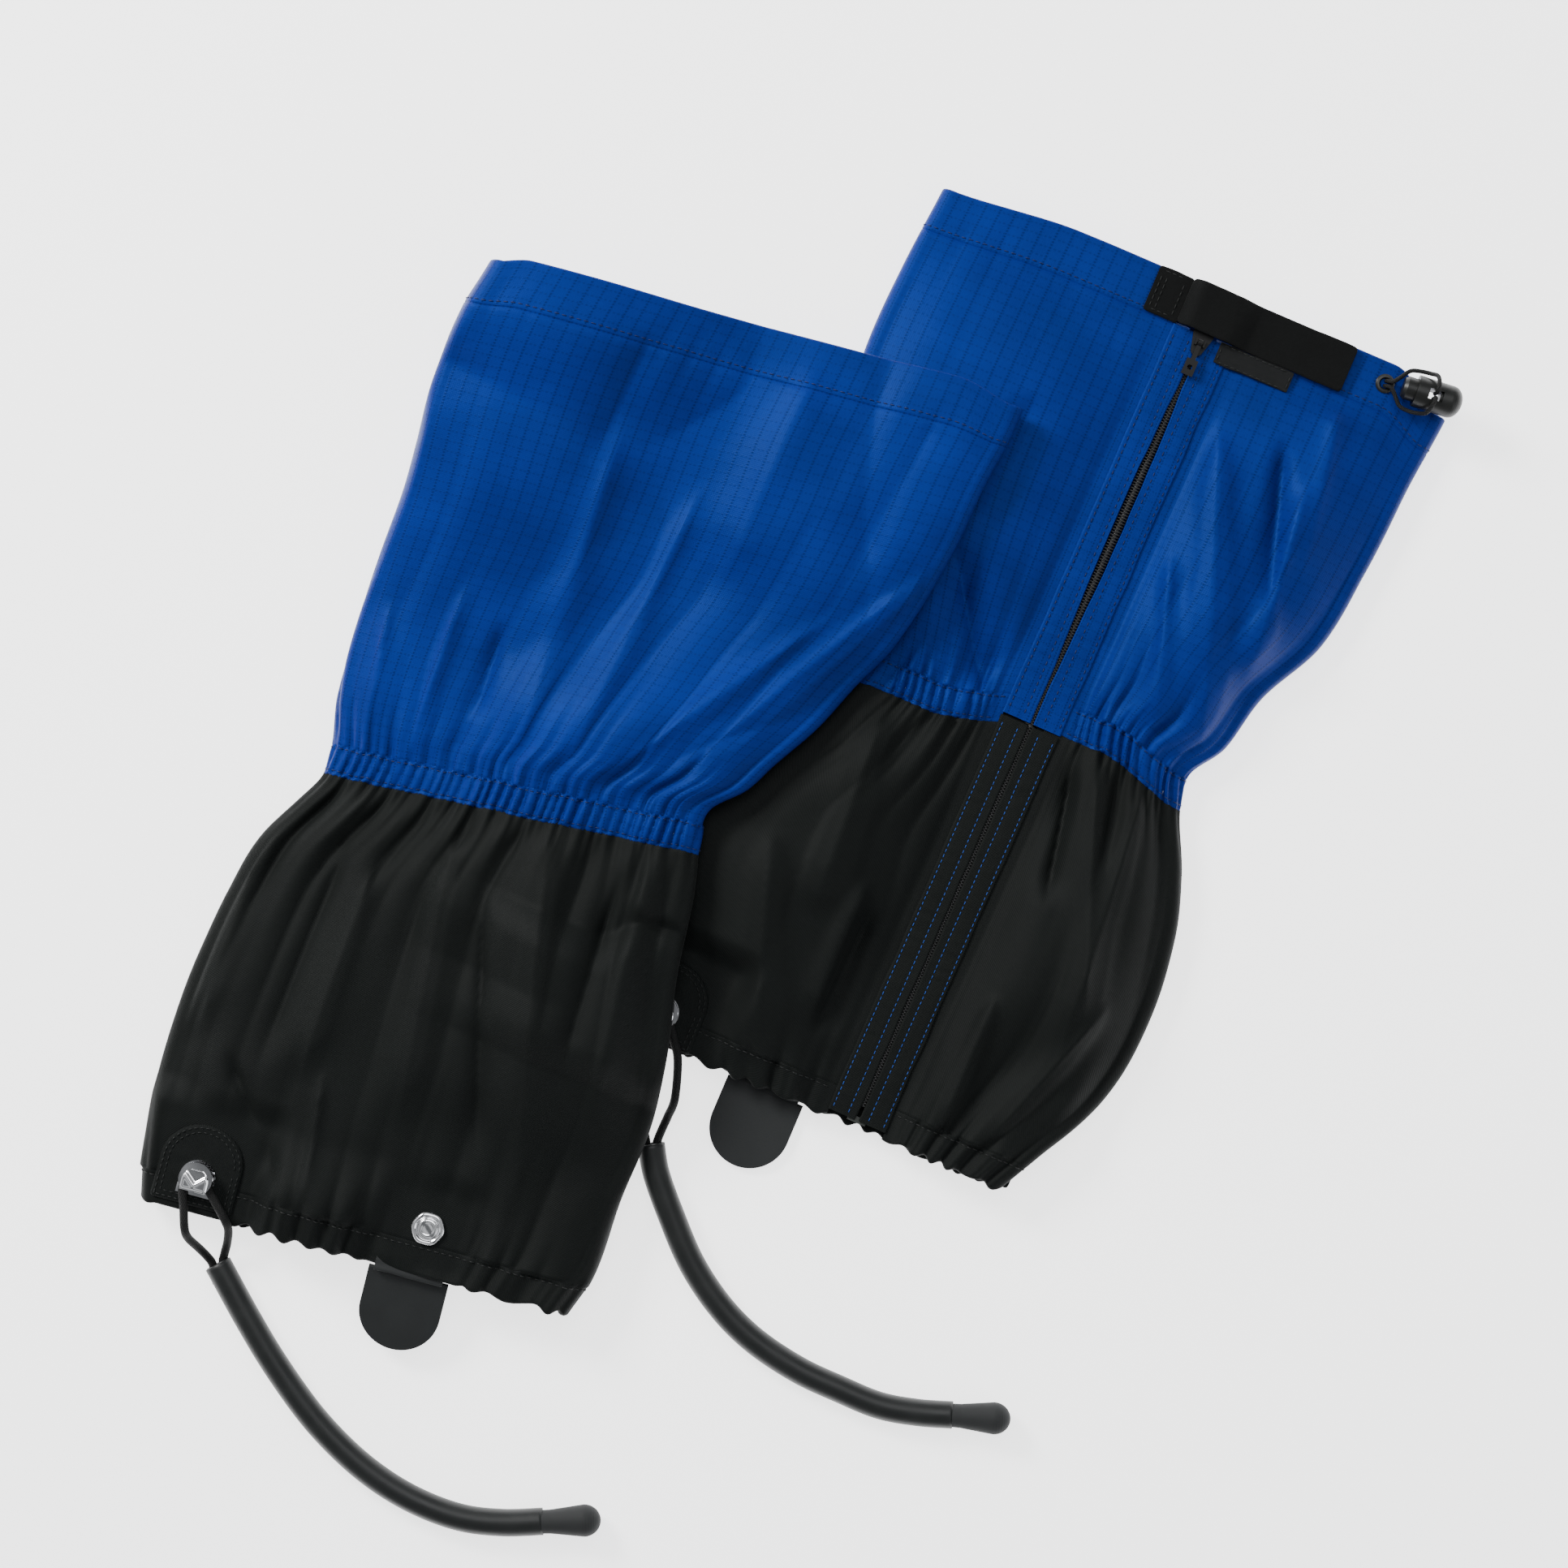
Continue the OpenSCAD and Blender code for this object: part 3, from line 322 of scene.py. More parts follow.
def relief(way, u, v, s, x):
    """How far the cloth stands out of its plain shape, in mm."""
    g = way.g
    up = s - WAIST_TOP[g]
    down = WAIST[g] - s
    rise = s - BOTTOM_TOP[g]
    drop = HEM[g] - s
    fan = x + 5 * noise2(x / 45, s / 60, 3) * ease(np.abs(s - 0.5 * (WAIST[g] + WAIST_TOP[g])) / 60)
    at = lambda h, reach: np.where(h >= 0, np.exp(-np.maximum(h, 0) / reach), 0)
    d = 1.4 * gathers(x, 4.6, 5) * at(up, 10) + 1.7 * gathers(fan, 8.5, 9) * at(up, 22) \
        + 2.9 * gathers(fan, 19, 13) * at(up, 58) * ease(up / 12)
    d = d + 1.4 * gathers(x, 4.6, 21) * at(down, 10) + 1.8 * gathers(fan, 10, 23) * at(down, 28) \
        + 3.4 * gathers(fan, 20, 27) * at(down, 85) * ease(down / 14)
    low = at(rise, 1e9) * np.where(down >= 0, 1, 0)
    d = d + low * (1.7 * gathers(x + 3, 10.5, 31) * at(rise, 11) + 2.0 * gathers(fan, 17, 33) * at(rise, 26)
                   + 2.2 * gathers(fan, 30, 37) * at(rise, 60))
    casing = (up < 0) & (down < 0)
    mid = np.clip((s - WAIST[g]) / (WAIST_TOP[g] - WAIST[g]), 0, 1)
    puff = 0.9 * np.sin(np.pi * mid) ** 0.6
    pleats = 1.55 * gathers(x + 2.2 * mid + 0.8 * noise(x / 6, 57), 4.6, 5)
    d = np.where(casing, pleats + puff * (0.8 + 0.5 * noise(x / 3, 41)), d)
    hem = rise < 0
    pleats = 2.3 * gathers(x + 3 + 1.5 * noise(x / 19, 59), 10.5, 31) * (0.8 + 0.35 * noise(x / 9, 43))
    d = np.where(hem, pleats + 0.5 * gathers(x, 4.5, 35), d)
    d = d + np.where(drop > 0, 0.35 * gathers(x, 11, 51) * np.exp(-np.maximum(drop, 0) / 12), 0)
    d = d + np.where(drop <= 0, 0.35 * gathers(x, 11, 51) * np.exp(np.minimum(drop, 0) / 9), 0)
    broad = 0.6 * noise2(x / 24, s / 80, 11) + 0.45 * noise2((x + 0.5 * s) / 14, s / 55, 12)
    body = ease(up / 40) * ease(drop / 40) + ease(down / 40) * ease(rise / 40)
    d = d + broad * body
    for f in FOLDS[g][2]:
        d = d + np.where(way.part == 2, ridge(u, v, f), 0)
    for f in FOLDS[g][0]:
        d = d + np.where((way.part == 0) | (way.part == 4), 1.5 * ridge(u, v, f), 0)
    return np.where(d > 3.5, 3.5 + 0.4 * (d - 3.5), d)


def skin(way, s, inset, folds=1.0):
    """Points of one row: x, y, z in mm."""
    g, part = way.g, way.part
    s = np.broadcast_to(np.asarray(s, float), way.q.shape)
    low = np.clip((BOTTOM_TOP[g] - s) / 13, 0, 1)
    high = np.clip((s - HEM[g]) / 20, 0, 1)
    casing = np.clip(1 - np.abs(s - 0.5 * (WAIST[g] + WAIST_TOP[g])) / 12, 0, 1)
    scallop = np.sin(2 * np.pi * way.x / 10.5 + 2.4 * noise(way.x / 23, 31) + 1) * (1 + 0.8 * noise(way.x / 14, 49))
    wander = 0.8 * low * scallop + 0.5 * high * noise(way.x / 26, 45) + 0.7 * casing * noise(way.x / 5, 47)
    plain = way.flat(s, inset)[0]
    still = np.maximum(np.where(part == 2, plateau(plain - TAB[g][0], 18, 24), 0),
                       plateau(plain - SIDE_HOOKS[g][0][0], 12, 18))
    u, h, v = way.flat(s + wander * (1 - still * (s < BOTTOM_TOP[g] + 3)), inset)
    d = relief(way, u, v, s, way.x) * folds
    at_tab = np.where(part == 2, plateau(u - TAB[g][0], 17, 27), 0)
    at_strap = plateau(u - SIDE_HOOKS[g][0][0], 12, 22)
    d = d * (1 - 0.85 * np.clip((BOTTOM_TOP[g] + 4 - s) / 6, 0, 1) * np.maximum(at_tab, at_strap))
    zipped = ease((np.abs(u - zip_u(g, v)) - 12.5) / 14)
    hem = plateau(v - 0.5 * (HEM[g] + TOP[g]), 14, 24)
    flap = hem * plateau(u - (zip_u(g, v) + (17 if g == RIGHT else -17)), 46, 56)
    on_zip_side = (part == 0) | (part == 4)
    d = np.where(on_zip_side, d * zipped * (1 - flap), d)
    for pads, face in ((ZIP_PADS[g], on_zip_side), (FRONT_PADS[g], part == 2)):
        for a, b, hu, hv, z in pads:
            if (g, a) in ((LEFT, -66), (RIGHT, 130)) and (g == LEFT) == (pads is FRONT_PADS[g]):
                continue
            d = np.where(face, d * (1 - 0.93 * plateau(u - a, hu - 4, hu + 10) * plateau(v - b, hv - 4, hv + 10)), d)
    below = part == 2 if g == RIGHT else on_zip_side
    d = np.where(below, np.minimum(0.5 * d, 0) * 0.8, d)
    above = ~below & ~((part == 1) | (part == 3))
    if g == RIGHT:
        d = np.where(above, d + (np.minimum(d, 0) * 0.6 - d) * cover(g, u, v), d)
    fold = (part == 1) | (part == 3)
    a = np.radians(way.q)
    up = 1 if g == RIGHT else -1
    soft = np.where(fold, 0.55, 1.0)
    d = d * soft
    u = u + np.where(part == 1, d * np.cos(a), np.where(part == 3, -d * np.cos(a), 0))
    h = h + np.where(fold, up * np.sin(a) * np.maximum(d, -2), np.where(on_zip_side, up * d, -up * d))
    x, y = place(g, u, v)
    return np.stack([x, y, np.maximum(h, 0.05)], -1)


# ------------------------------------------------------------------ meshes
def mesh_object(name, verts, faces, uv=None):
    me = bpy.data.meshes.new(name)
    me.from_pydata([tuple(p) for p in np.asarray(verts, float) * MM], [], faces)
    if uv is not None:
        layer = me.uv_layers.new(name="Cloth")
        loops = np.empty(len(me.loops), int)
        me.loops.foreach_get("vertex_index", loops)
        layer.data.foreach_set("uv", (np.asarray(uv, float)[loops] * MM).ravel())
    me.validate()
    me.polygons.foreach_set("use_smooth", [True] * len(me.polygons))
    ob = bpy.data.objects.new(name, me)
    bpy.context.scene.collection.objects.link(ob)
    return ob


def grid_faces(rows, cols, closed=False, start=0):
    out = []
    for i in range(rows - 1):
        for j in range(cols if closed else cols - 1):
            a, b = start + i * cols + j, start + i * cols + (j + 1) % cols
            out.append((a, b, b + cols, a + cols))
    return out


def capped_faces(rows, cols, start=0):
    """A closed tube of rings, with a face over each end."""
    ends = tuple(range(start, start + cols))[::-1], tuple(range(start + (rows - 1) * cols, start + rows * cols))
    return [*grid_faces(rows, cols, True, start), *ends]


def run_of(path):
    """Length along a path at each of its points."""
    return np.concatenate([[0], np.cumsum(np.linalg.norm(np.diff(path, axis=0), axis=1))])


def cloth(name, g, rows, edge, step):
    """A cloth piece: rows is a list of (s, inset, fold share)."""
    way = Way(g, edge, step)
    verts = np.concatenate([skin(way, *row) for row in rows])
    run = np.concatenate([[0], np.cumsum([math.hypot(b[0] - a[0], b[1] - a[1]) for a, b in zip(rows, rows[1:])])])
    n = len(way.x)
    uv = np.stack([np.tile(way.x, len(rows)), np.repeat(run + rows[0][0], n)], -1)
    faces = grid_faces(len(rows), n)
    return mesh_object(name, verts, faces if g == RIGHT else [f[::-1] for f in faces], uv)


# ------------------------------------------------------------------ frames on a gaiter, as in the CAD
class Seat:
    """A frame on a gaiter: z is the outward normal of the zip side (face 1) or of the front (face -1)."""

    def __init__(self, g, u, v, z, face=1, spin=0.0):
        x, y = place(g, u, v)
        up = (g == RIGHT) == (face == 1)
        self.m = Matrix.Translation((x, y, z)) @ Matrix.Rotation(-TURN[g], 4, "Z") \
            @ Matrix.Rotation(0 if up else math.pi, 4, "Y") @ Matrix.Rotation(spin, 4, "Z")
        self.a = np.array(self.m)

    def __call__(self, pts):
        p = np.atleast_2d(np.asarray(pts, float))
        return p @ self.a[:3, :3].T + self.a[:3, 3]


def on_zip(g):
    return Seat(g, *ZIP_FOOT[g], ZIP_Z[g], 1, ZIP_TURN[g])


def on_hem(g):
    return Seat(g, zip_u(g, HEM[g]), HEM[g], ZIP_Z[g])


SEWN_ON = 0.4


def on_side_hook(g, i):
    u, v = SIDE_HOOKS[g][i]
    shown = (i == 0) if g == RIGHT else (i == 1)
    pads = ZIP_PADS[g] if shown else FRONT_PADS[g]
    z = next(p[4] for p in pads if abs(p[0] - u) < 2)
    up = (g == RIGHT) == shown
    return Seat(g, u, v, z + (SEWN_ON if up else -SEWN_ON), 1 if shown else -1)


def on_front(g):
    u, v = FRONT_RIVET[g]
    return Seat(g, u, v, next(p[4] for p in FRONT_PADS[g] if abs(p[0] - u) < 2), -1)


LOCK_TURN = [math.radians(5), math.radians(-75)]


def at_lock(g):
    return Seat(g, *EYELET[g], LOCK_Z[g], 1, LOCK_TURN[g])


# ------------------------------------------------------------------ materials
def material(name, color, rough, metal=0.0, spec=0.5):
    m = bpy.data.materials.new(name)
    m.use_nodes = True
    nt = m.node_tree
    b = nt.nodes["Principled BSDF"]
    b.inputs["Base Color"].default_value = (*color, 1)
    b.inputs["Roughness"].default_value = rough
    b.inputs["Metallic"].default_value = metal
    b.inputs["Specular IOR Level"].default_value = spec
    return m, nt, b


def node(nt, kind, **values):
    n = nt.nodes.new(kind)
    for k, v in values.items():
        if k in n.inputs:
            n.inputs[k].default_value = v
        else:
            setattr(n, k, v)
    return n


def math_node(nt, op, a, b=None, c=None):
    n = nt.nodes.new("ShaderNodeMath")
    n.operation = op
    for i, v in enumerate((a, b, c)):
        if v is None:
            continue
        if isinstance(v, (int, float)):
            n.inputs[i].default_value = v
        else:
            nt.links.new(v, n.inputs[i])
    return n.outputs[0]


def times(nt, a, b):
    return math_node(nt, "MULTIPLY", a, b)


def plus(nt, a, b):
    return math_node(nt, "ADD", a, b)


def scaled(nt, a, b, c):
    """a times b, plus c."""
    return math_node(nt, "MULTIPLY_ADD", a, b, c)


def mix_color(nt, share, a, b):
    n = nt.nodes.new("ShaderNodeMix")
    n.data_type = "RGBA"
    for i, v in ((0, share), (6, a), (7, b)):
        if isinstance(v, (int, float)):
            n.inputs[i].default_value = v
        elif isinstance(v, tuple):
            n.inputs[i].default_value = (*v, 1)
        else:
            nt.links.new(v, n.inputs[i])
    return n.outputs[2]


def bump(nt, b, height, strength, distance):
    n = node(nt, "ShaderNodeBump", Strength=strength, Distance=distance)
    nt.links.new(height, n.inputs["Height"])
    nt.links.new(n.outputs[0], b.inputs["Normal"])


def cloth_uv(nt):
    uv = node(nt, "ShaderNodeUVMap", uv_map="Cloth")
    sep = nt.nodes.new("ShaderNodeSeparateXYZ")
    nt.links.new(uv.outputs[0], sep.inputs[0])
    return uv.outputs[0], times(nt, sep.outputs[0], 1000), times(nt, sep.outputs[1], 1000)


def noise_node(nt, coord, scale, detail=3.0):
    n = node(nt, "ShaderNodeTexNoise", Scale=scale, Detail=detail, Roughness=0.55)
    nt.links.new(coord, n.inputs["Vector"])
    return n.outputs["Fac"]


def wave(nt, x, period):
    """0 to 1 along x with that period."""
    return scaled(nt, math_node(nt, "SINE", times(nt, x, 2 * math.pi / period)), 0.5, 0.5)


def lines(nt, x, period, width):
    """1 on thin lines a period apart."""
    f = math_node(nt, "PINGPONG", x, period / 2)
    return math_node(nt, "SUBTRACT", 1.0, math_node(nt, "SMOOTH_MIN", math_node(nt, "DIVIDE", f, width), 1.0, 0.2))


def clamp01(nt, v):
    return math_node(nt, "MINIMUM", math_node(nt, "MAXIMUM", v, 0.0), 1.0)


def ripstop(name, color, dark, rough, grid, sheen):
    """Fine plain weave with a thin dotted check of heavier threads."""
    m, nt, b = material(name, color, rough, spec=0.2)
    b.inputs["Specular Tint"].default_value = (0.12, 0.4, 1, 1)
    uv, x, y = cloth_uv(nt)
    warp = clamp01(nt, lines(nt, x, grid, 0.55))
    weft = clamp01(nt, lines(nt, y, grid, 0.55))
    dots_x = times(nt, warp, wave(nt, y, 1.3))
    dots_y = times(nt, weft, wave(nt, x, 1.3))
    check = math_node(nt, "MAXIMUM", dots_x, times(nt, dots_y, 0.55))
    weave = times(nt, wave(nt, x, 0.55), wave(nt, y, 0.55))
    cloud = noise_node(nt, uv, 26.0, 4.0)
    fine = noise_node(nt, uv, 900.0, 2.0)
    tone = mix_color(nt, clamp01(nt, scaled(nt, cloud, 1.6, -0.45)), dark, color)
    tone = mix_color(nt, times(nt, fine, 0.16), tone, tuple(min(1, 1.5 * c) for c in color))
    tone = mix_color(nt, times(nt, check, 0.75), tone, tuple(0.3 * c for c in dark))
    nt.links.new(tone, b.inputs["Base Color"])
    nt.links.new(scaled(nt, cloud, 0.16, rough - 0.08), b.inputs["Roughness"])
    b.inputs["Sheen Weight"].default_value = sheen
    b.inputs["Sheen Roughness"].default_value = 0.35
    b.inputs["Sheen Tint"].default_value = (0.35, 0.6, 1, 1)
    relief_ = plus(nt, times(nt, check, 0.9), times(nt, weave, 0.45))
    relief_ = plus(nt, relief_, times(nt, noise_node(nt, uv, 160.0, 3.0), 1.6))
    bump(nt, b, relief_, 0.35, 0.00025)
    return m


def twill(name, color, light, rough, pitch=0.8, strength=0.4, sheen=0.03):
    """Diagonal ribs of a twill, with a soft uneven tone, and a painted highlight along each rib's raised crest."""
    m, nt, b = material(name, color, rough, spec=0.1)
    uv, x, y = cloth_uv(nt)
    diagonal = plus(nt, x, times(nt, y, 0.8))
    rib = wave(nt, diagonal, pitch)
    cross = wave(nt, math_node(nt, "SUBTRACT", y, x), pitch * 0.5)
    cloud = noise_node(nt, uv, 22.0, 4.0)
    fine = noise_node(nt, uv, 700.0, 2.0)
    tone = mix_color(nt, clamp01(nt, scaled(nt, cloud, 1.4, -0.4)), color, light)
    # painted highlight: the colour is lighter along each rib's crest, the same wave that raises the ribs in the bump
    # below
    tone = mix_color(nt, times(nt, rib, 0.45), tone, tuple(1.5 * c for c in light))
    tone = mix_color(nt, times(nt, fine, 0.2), tone, tuple(0.5 * c for c in color))
    nt.links.new(tone, b.inputs["Base Color"])
    nt.links.new(scaled(nt, rib, 0.1, rough - 0.05), b.inputs["Roughness"])
    b.inputs["Sheen Weight"].default_value = sheen
    b.inputs["Sheen Roughness"].default_value = 0.4
    h = plus(nt, times(nt, rib, 0.7), times(nt, cross, 0.3))
    bump(nt, b, plus(nt, h, times(nt, noise_node(nt, uv, 220.0), 1.2)), strength, 0.00022)
    return m


def object_coord(nt):
    return nt.nodes.new("ShaderNodeTexCoord").outputs["Object"]


def solid(name, color, rough, metal=0.0, grain=600.0, depth=0.1, wear=0.1, spec=0.5, light=None, dent=0.0001):
    """Moulded plastic, rubber or metal: uneven tone and roughness, fine grain, lighter worn spots."""
    m, nt, b = material(name, color, rough, metal, spec)
    c = object_coord(nt)
    cloud = noise_node(nt, c, 90.0, 4.0)
    fine = noise_node(nt, c, grain, 2.0)
    light = light or tuple(min(1, 1.6 * v + 0.01) for v in color)
    tone = mix_color(nt, times(nt, cloud, wear * 2), color, light)
    nt.links.new(tone, b.inputs["Base Color"])
    nt.links.new(clamp01(nt, scaled(nt, cloud, 0.25, rough - 0.12)), b.inputs["Roughness"])
    bump(nt, b, fine, depth, dent)
    return m


def braid(name, color, light, across, along):
    """The woven cover of a shock cord: two families of threads that cross, with a painted highlight on the thread
    crests.
    """
    m, nt, b = material(name, color, 0.6, spec=0.2)
    uv, x, y = cloth_uv(nt)
    k = across / along
    a = wave(nt, plus(nt, x, times(nt, y, k)), across)
    c = wave(nt, math_node(nt, "SUBTRACT", x, times(nt, y, k)), across)
    h = math_node(nt, "MAXIMUM", a, c)
    # painted highlight: the highest points of the threads, which the bump also raises, are coloured lighter
    nt.links.new(mix_color(nt, math_node(nt, "POWER", h, 3.0), color, light), b.inputs["Base Color"])
    bump(nt, b, h, 0.7, 0.0003)
    return m


def thread(name, color):
    m, nt, b = material(name, color, 0.55, spec=0.4)
    c = object_coord(nt)
    tone = mix_color(nt, noise_node(nt, c, 1500.0, 2.0), tuple(0.6 * v for v in color),
                     tuple(1.3 * v for v in color))
    nt.links.new(tone, b.inputs["Base Color"])
    bump(nt, b, noise_node(nt, c, 2500.0), 0.4, 0.0001)
    return m


BLUE = ripstop("blue_ripstop", (0.005, 0.022, 0.22), (0.002, 0.011, 0.12), 0.44, 4.2, 0.0)
BLACK = twill("black_twill", (0.0035, 0.0044, 0.0041), (0.007, 0.0085, 0.008), 0.6)
TAPE = twill("tape_weave", (0.003, 0.0033, 0.0033), (0.006, 0.0065, 0.0065), 0.7, 0.6, 0.5)
FLAP = twill("flap_weave", (0.003, 0.0033, 0.0033), (0.006, 0.0065, 0.0065), 0.72, 0.5, 0.6, 0.06)
ELASTIC = twill("elastic_weave", (0.6, 0.6, 0.57), (0.75, 0.75, 0.72), 0.7, 1.0, 0.6)
CORD = braid("cord_braid", (0.003, 0.003, 0.003), (0.012, 0.0125, 0.0125), 0.9, 1.5)
RUBBER = solid("rubber", (0.006, 0.007, 0.007), 0.42, grain=900.0, depth=0.12, wear=0.25, spec=0.35)
TAB_RUBBER = solid("tab_rubber", (0.012, 0.0135, 0.014), 0.62, grain=1500.0, depth=0.3, wear=0.2, spec=0.3)
PLASTIC = solid("gloss_plastic", (0.005, 0.0055, 0.005), 0.36, grain=700.0, depth=0.05, wear=0.2, spec=0.35)
COIL_LOOK = solid("coil_plastic", (0.01, 0.01, 0.01), 0.36, grain=900.0, depth=0.1)
PAINT = solid("slider_paint", (0.004, 0.004, 0.0045), 0.5, 0.0, 800.0, 0.1, 0.3, spec=0.2,
              light=(0.012, 0.012, 0.012))
BOX = solid("retainer_plastic", (0.03, 0.034, 0.03), 0.4, grain=700.0, depth=0.1, wear=0.4)
CHROME = solid("chrome", (0.86, 0.86, 0.88), 0.09, 1.0, 70.0, 0.3, 0.2, light=(0.95, 0.95, 0.95), dent=0.0006)
STEEL = solid("spring_steel", (0.5, 0.5, 0.5), 0.3, 1.0)
END_RUBBER = solid("end_rubber", (0.014, 0.015, 0.0155), 0.7, grain=1300.0, depth=0.25, wear=0.3, spec=0.3)
FUZZ = twill("loop_pile", (0.003, 0.0033, 0.0033), (0.007, 0.0075, 0.0075), 0.9, 1.1, 1.0, 0.1)
LABEL_LOOK = twill("label_weave", (0.007, 0.0075, 0.0078), (0.012, 0.013, 0.0135), 0.55, 0.35, 0.4)
PATCH_LOOK = twill("patch_twill", (0.0035, 0.0044, 0.0041), (0.007, 0.0085, 0.008), 0.6, 0.9, 0.5)
THREAD_GREY = thread("dark_thread", (0.009, 0.0105, 0.01))
BLUE_THREAD = thread("blue_thread", (0.012, 0.065, 0.32))
DARK_THREAD = thread("dark_blue_thread", (0.001, 0.008, 0.07))
BLACK_THREAD = thread("black_thread", (0.008, 0.009, 0.009))


def finish_piece(ob, mat, body, cad_node=None):
    ob.data.materials.clear()
    ob.data.materials.append(mat)
    if cad_node:
        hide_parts(cad_node)
    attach(ob, body)


# ------------------------------------------------------------------ tubes, stitches and strips
def smooth_route(p, steps):
    """Points on a smooth curve through p, as the CAD draws them."""
    p = np.asarray(p, float)
    out = []
    for i in range(len(p) - 1):
        a, b, c, d = p[max(0, i - 1)], p[i], p[i + 1], p[min(len(p) - 1, i + 2)]
        for k in range(steps):
            t = k / steps
            out.append(0.5 * (2 * b + (c - a) * t + (2 * a - 5 * b + 4 * c - d) * t * t
                              + (3 * b - a - 3 * c + d) * t ** 3))
    return np.array(out + [p[-1]])


def tube_rings(path, radii, sides):
    """Rings round a path, with frames carried along it so that nothing twists."""
    path = np.asarray(path, float)
    tangents = np.gradient(path, axis=0)
    tangents /= np.linalg.norm(tangents, axis=1)[:, None]
    side = np.cross(tangents[0], (0, 0, 1.0))
    if np.linalg.norm(side) < 0.2:
        side = np.cross(tangents[0], (0, 1.0, 0))
    rings = []
    for p, t, r in zip(path, tangents, np.broadcast_to(radii, len(path))):
        side = side - t * (side @ t)
        side /= np.linalg.norm(side)
        up = np.cross(side, t)
        a = np.linspace(0, 2 * np.pi, sides, endpoint=False)
        rings.append(p + r * (np.cos(a)[:, None] * side + np.sin(a)[:, None] * up))
    return np.array(rings)


def tube(name, path, radius, sides, mouth=None):
    """A tube mesh along the path; with a mouth it starts with a wall of that inner radius and depth."""
    path = np.asarray(path, float)
    rings = tube_rings(path, radius, sides)
    if mouth:
        inner, deep = mouth
        inside = [i for i, run in enumerate(run_of(path)) if run <= deep]
        mid = path[inside][:, None, :]
        bore = mid + (rings[inside] - mid) * (inner / radius)
        lip = path[0] + (rings[0] - path[0]) * ((inner + radius) / 2 / radius)
        t = (path[0] - path[1]) / np.linalg.norm(path[0] - path[1])
        rings = np.concatenate([bore[::-1], [lip + 0.35 * t], rings])
        mids = np.concatenate([path[inside][::-1], [path[0]], path])
    else:
        mids = path
    n = len(rings)
    around = np.linspace(0, 2 * math.pi * radius, sides, endpoint=False)
    uv = np.stack([np.tile(around, n), np.repeat(run_of(mids), sides)], -1)
    return mesh_object(name, rings.reshape(-1, 3), [f[::-1] for f in capped_faces(n, sides)], uv)


def points_at(at, run, values):
    return np.stack([np.interp(at, run, values[:, k]) for k in range(3)], -1)


def resample(path, gap):
    """Points along the path, evenly about a gap apart."""
    path = np.asarray(path, float)
    run = run_of(path)
    return points_at(np.linspace(0, run[-1], max(2, int(run[-1] / gap) + 1)), run, path)


STITCH_LIFT = 0.12


def stitch_mesh(name, paths, long=2.3, gap=3.1, radius=0.24):
    """Rows of short threads that dip into the cloth at both ends; each path is (points, outward normals)."""
    verts, faces = [], []
    for points, normals in paths:
        points, normals = np.asarray(points, float), np.asarray(normals, float)
        run = run_of(points)
        for s in np.arange(gap * 0.3, run[-1] - long, gap):
            at = s + np.array([0.0, 0.18, 0.5, 0.82, 1.0]) * long
            p, nn = points_at(at, run, points), points_at(at, run, normals)
            p = p + nn * (STITCH_LIFT + radius * np.array([-1.2, 0.2, 0.6, 0.2, -1.2]))[:, None]
            t = p[-1] - p[0]
            t /= np.linalg.norm(t) + 1e-9
            side = np.cross(nn[2], t)
            side /= np.linalg.norm(side) + 1e-9
            up = np.cross(t, side)
            faces += capped_faces(5, 5, len(verts))
            for c, share in zip(p, (0.45, 0.95, 1.0, 0.95, 0.45)):
                r = radius * share
                for a in range(5):
                    w = 2 * math.pi * a / 5
                    verts.append(c + r * (math.cos(w) * side + math.sin(w) * up))
    return mesh_object(name, verts, faces)


def cloth_line(g, s, step):
    """A stitch path round the tube at s: points and outward normals."""
    way = Way(g, HEM_EDGE, step)
    a, b = skin(way, s, 0), skin(way, s - 0.6, 0)
    along = np.gradient(a, axis=0)
    n = np.cross(along, b - a)
    n /= np.linalg.norm(n, axis=1)[:, None] + 1e-9
    outward = np.sign(n[way.part == 2][:, 2].mean()) * (-1 if g == RIGHT else 1)
    return a, n * outward


def strip_mesh(name, seat, profile, stations, wobble):
    """A strip swept along its seat's y: profile of (x, w) points, wobble(x, y) added to them."""
    verts, uv = [], []
    run = np.concatenate([[0], np.cumsum([math.dist(a, b) for a, b in zip(profile, profile[1:])])])
    for y in stations:
        for (x, w), r in zip(profile, run):
            dx, dw = wobble(x, y)
            verts.append((x + dx, y, w + dw))
            uv.append((r, y))
    n = len(profile)
    return mesh_object(name, seat(verts), grid_faces(len(stations), n), uv)


# ------------------------------------------------------------------ cords
SHOCK_CORD, TUBE_DIAMETER, TUBE_Z, METAL, HOOK_GAP, PATCH = 3.6, 11.4, 5.8, 1.0, 4.6, 1.0
TUBE_ROUTE = [
    [(-63, -158), (-61, -170), (-55, -187), (-46, -208), (-34, -226), (-20, -240), (-2, -252), (15, -260),
     (32, -267), (48, -270), (62, -271)],
    [(-244, -208), (-232, -230), (-220, -250), (-205, -271), (-190, -287), (-175, -299), (-159, -308),
     (-142, -314), (-125, -316), (-109, -315.5)]]
INTO_CAP = 0.7                               # the tube runs this far into its end cap
BORE_RADIUS, SLEEVE = 4.05, 16
LOCK_ROUTE = [(0.05, 1, 0.6), (0.6, 1.1, 2), (2.6, 1.3, 3.4), (5, 4, 4), (8, 7.6, 4.6), (12, 8.6, 5.6), (16, 8.6, 8),
              (18.5, 8, 12), (19.6, 5, 15.2), (20, 1.8, 15.6), (20, 1.15, 13), (20, 1.15, 8)]


def length_of(path):
    return float(np.sum(np.linalg.norm(np.diff(path, axis=0), axis=1)))


def metres(path):
    return [tuple(p * MM) for p in resample(path, max(0.5, length_of(path) / 60))]


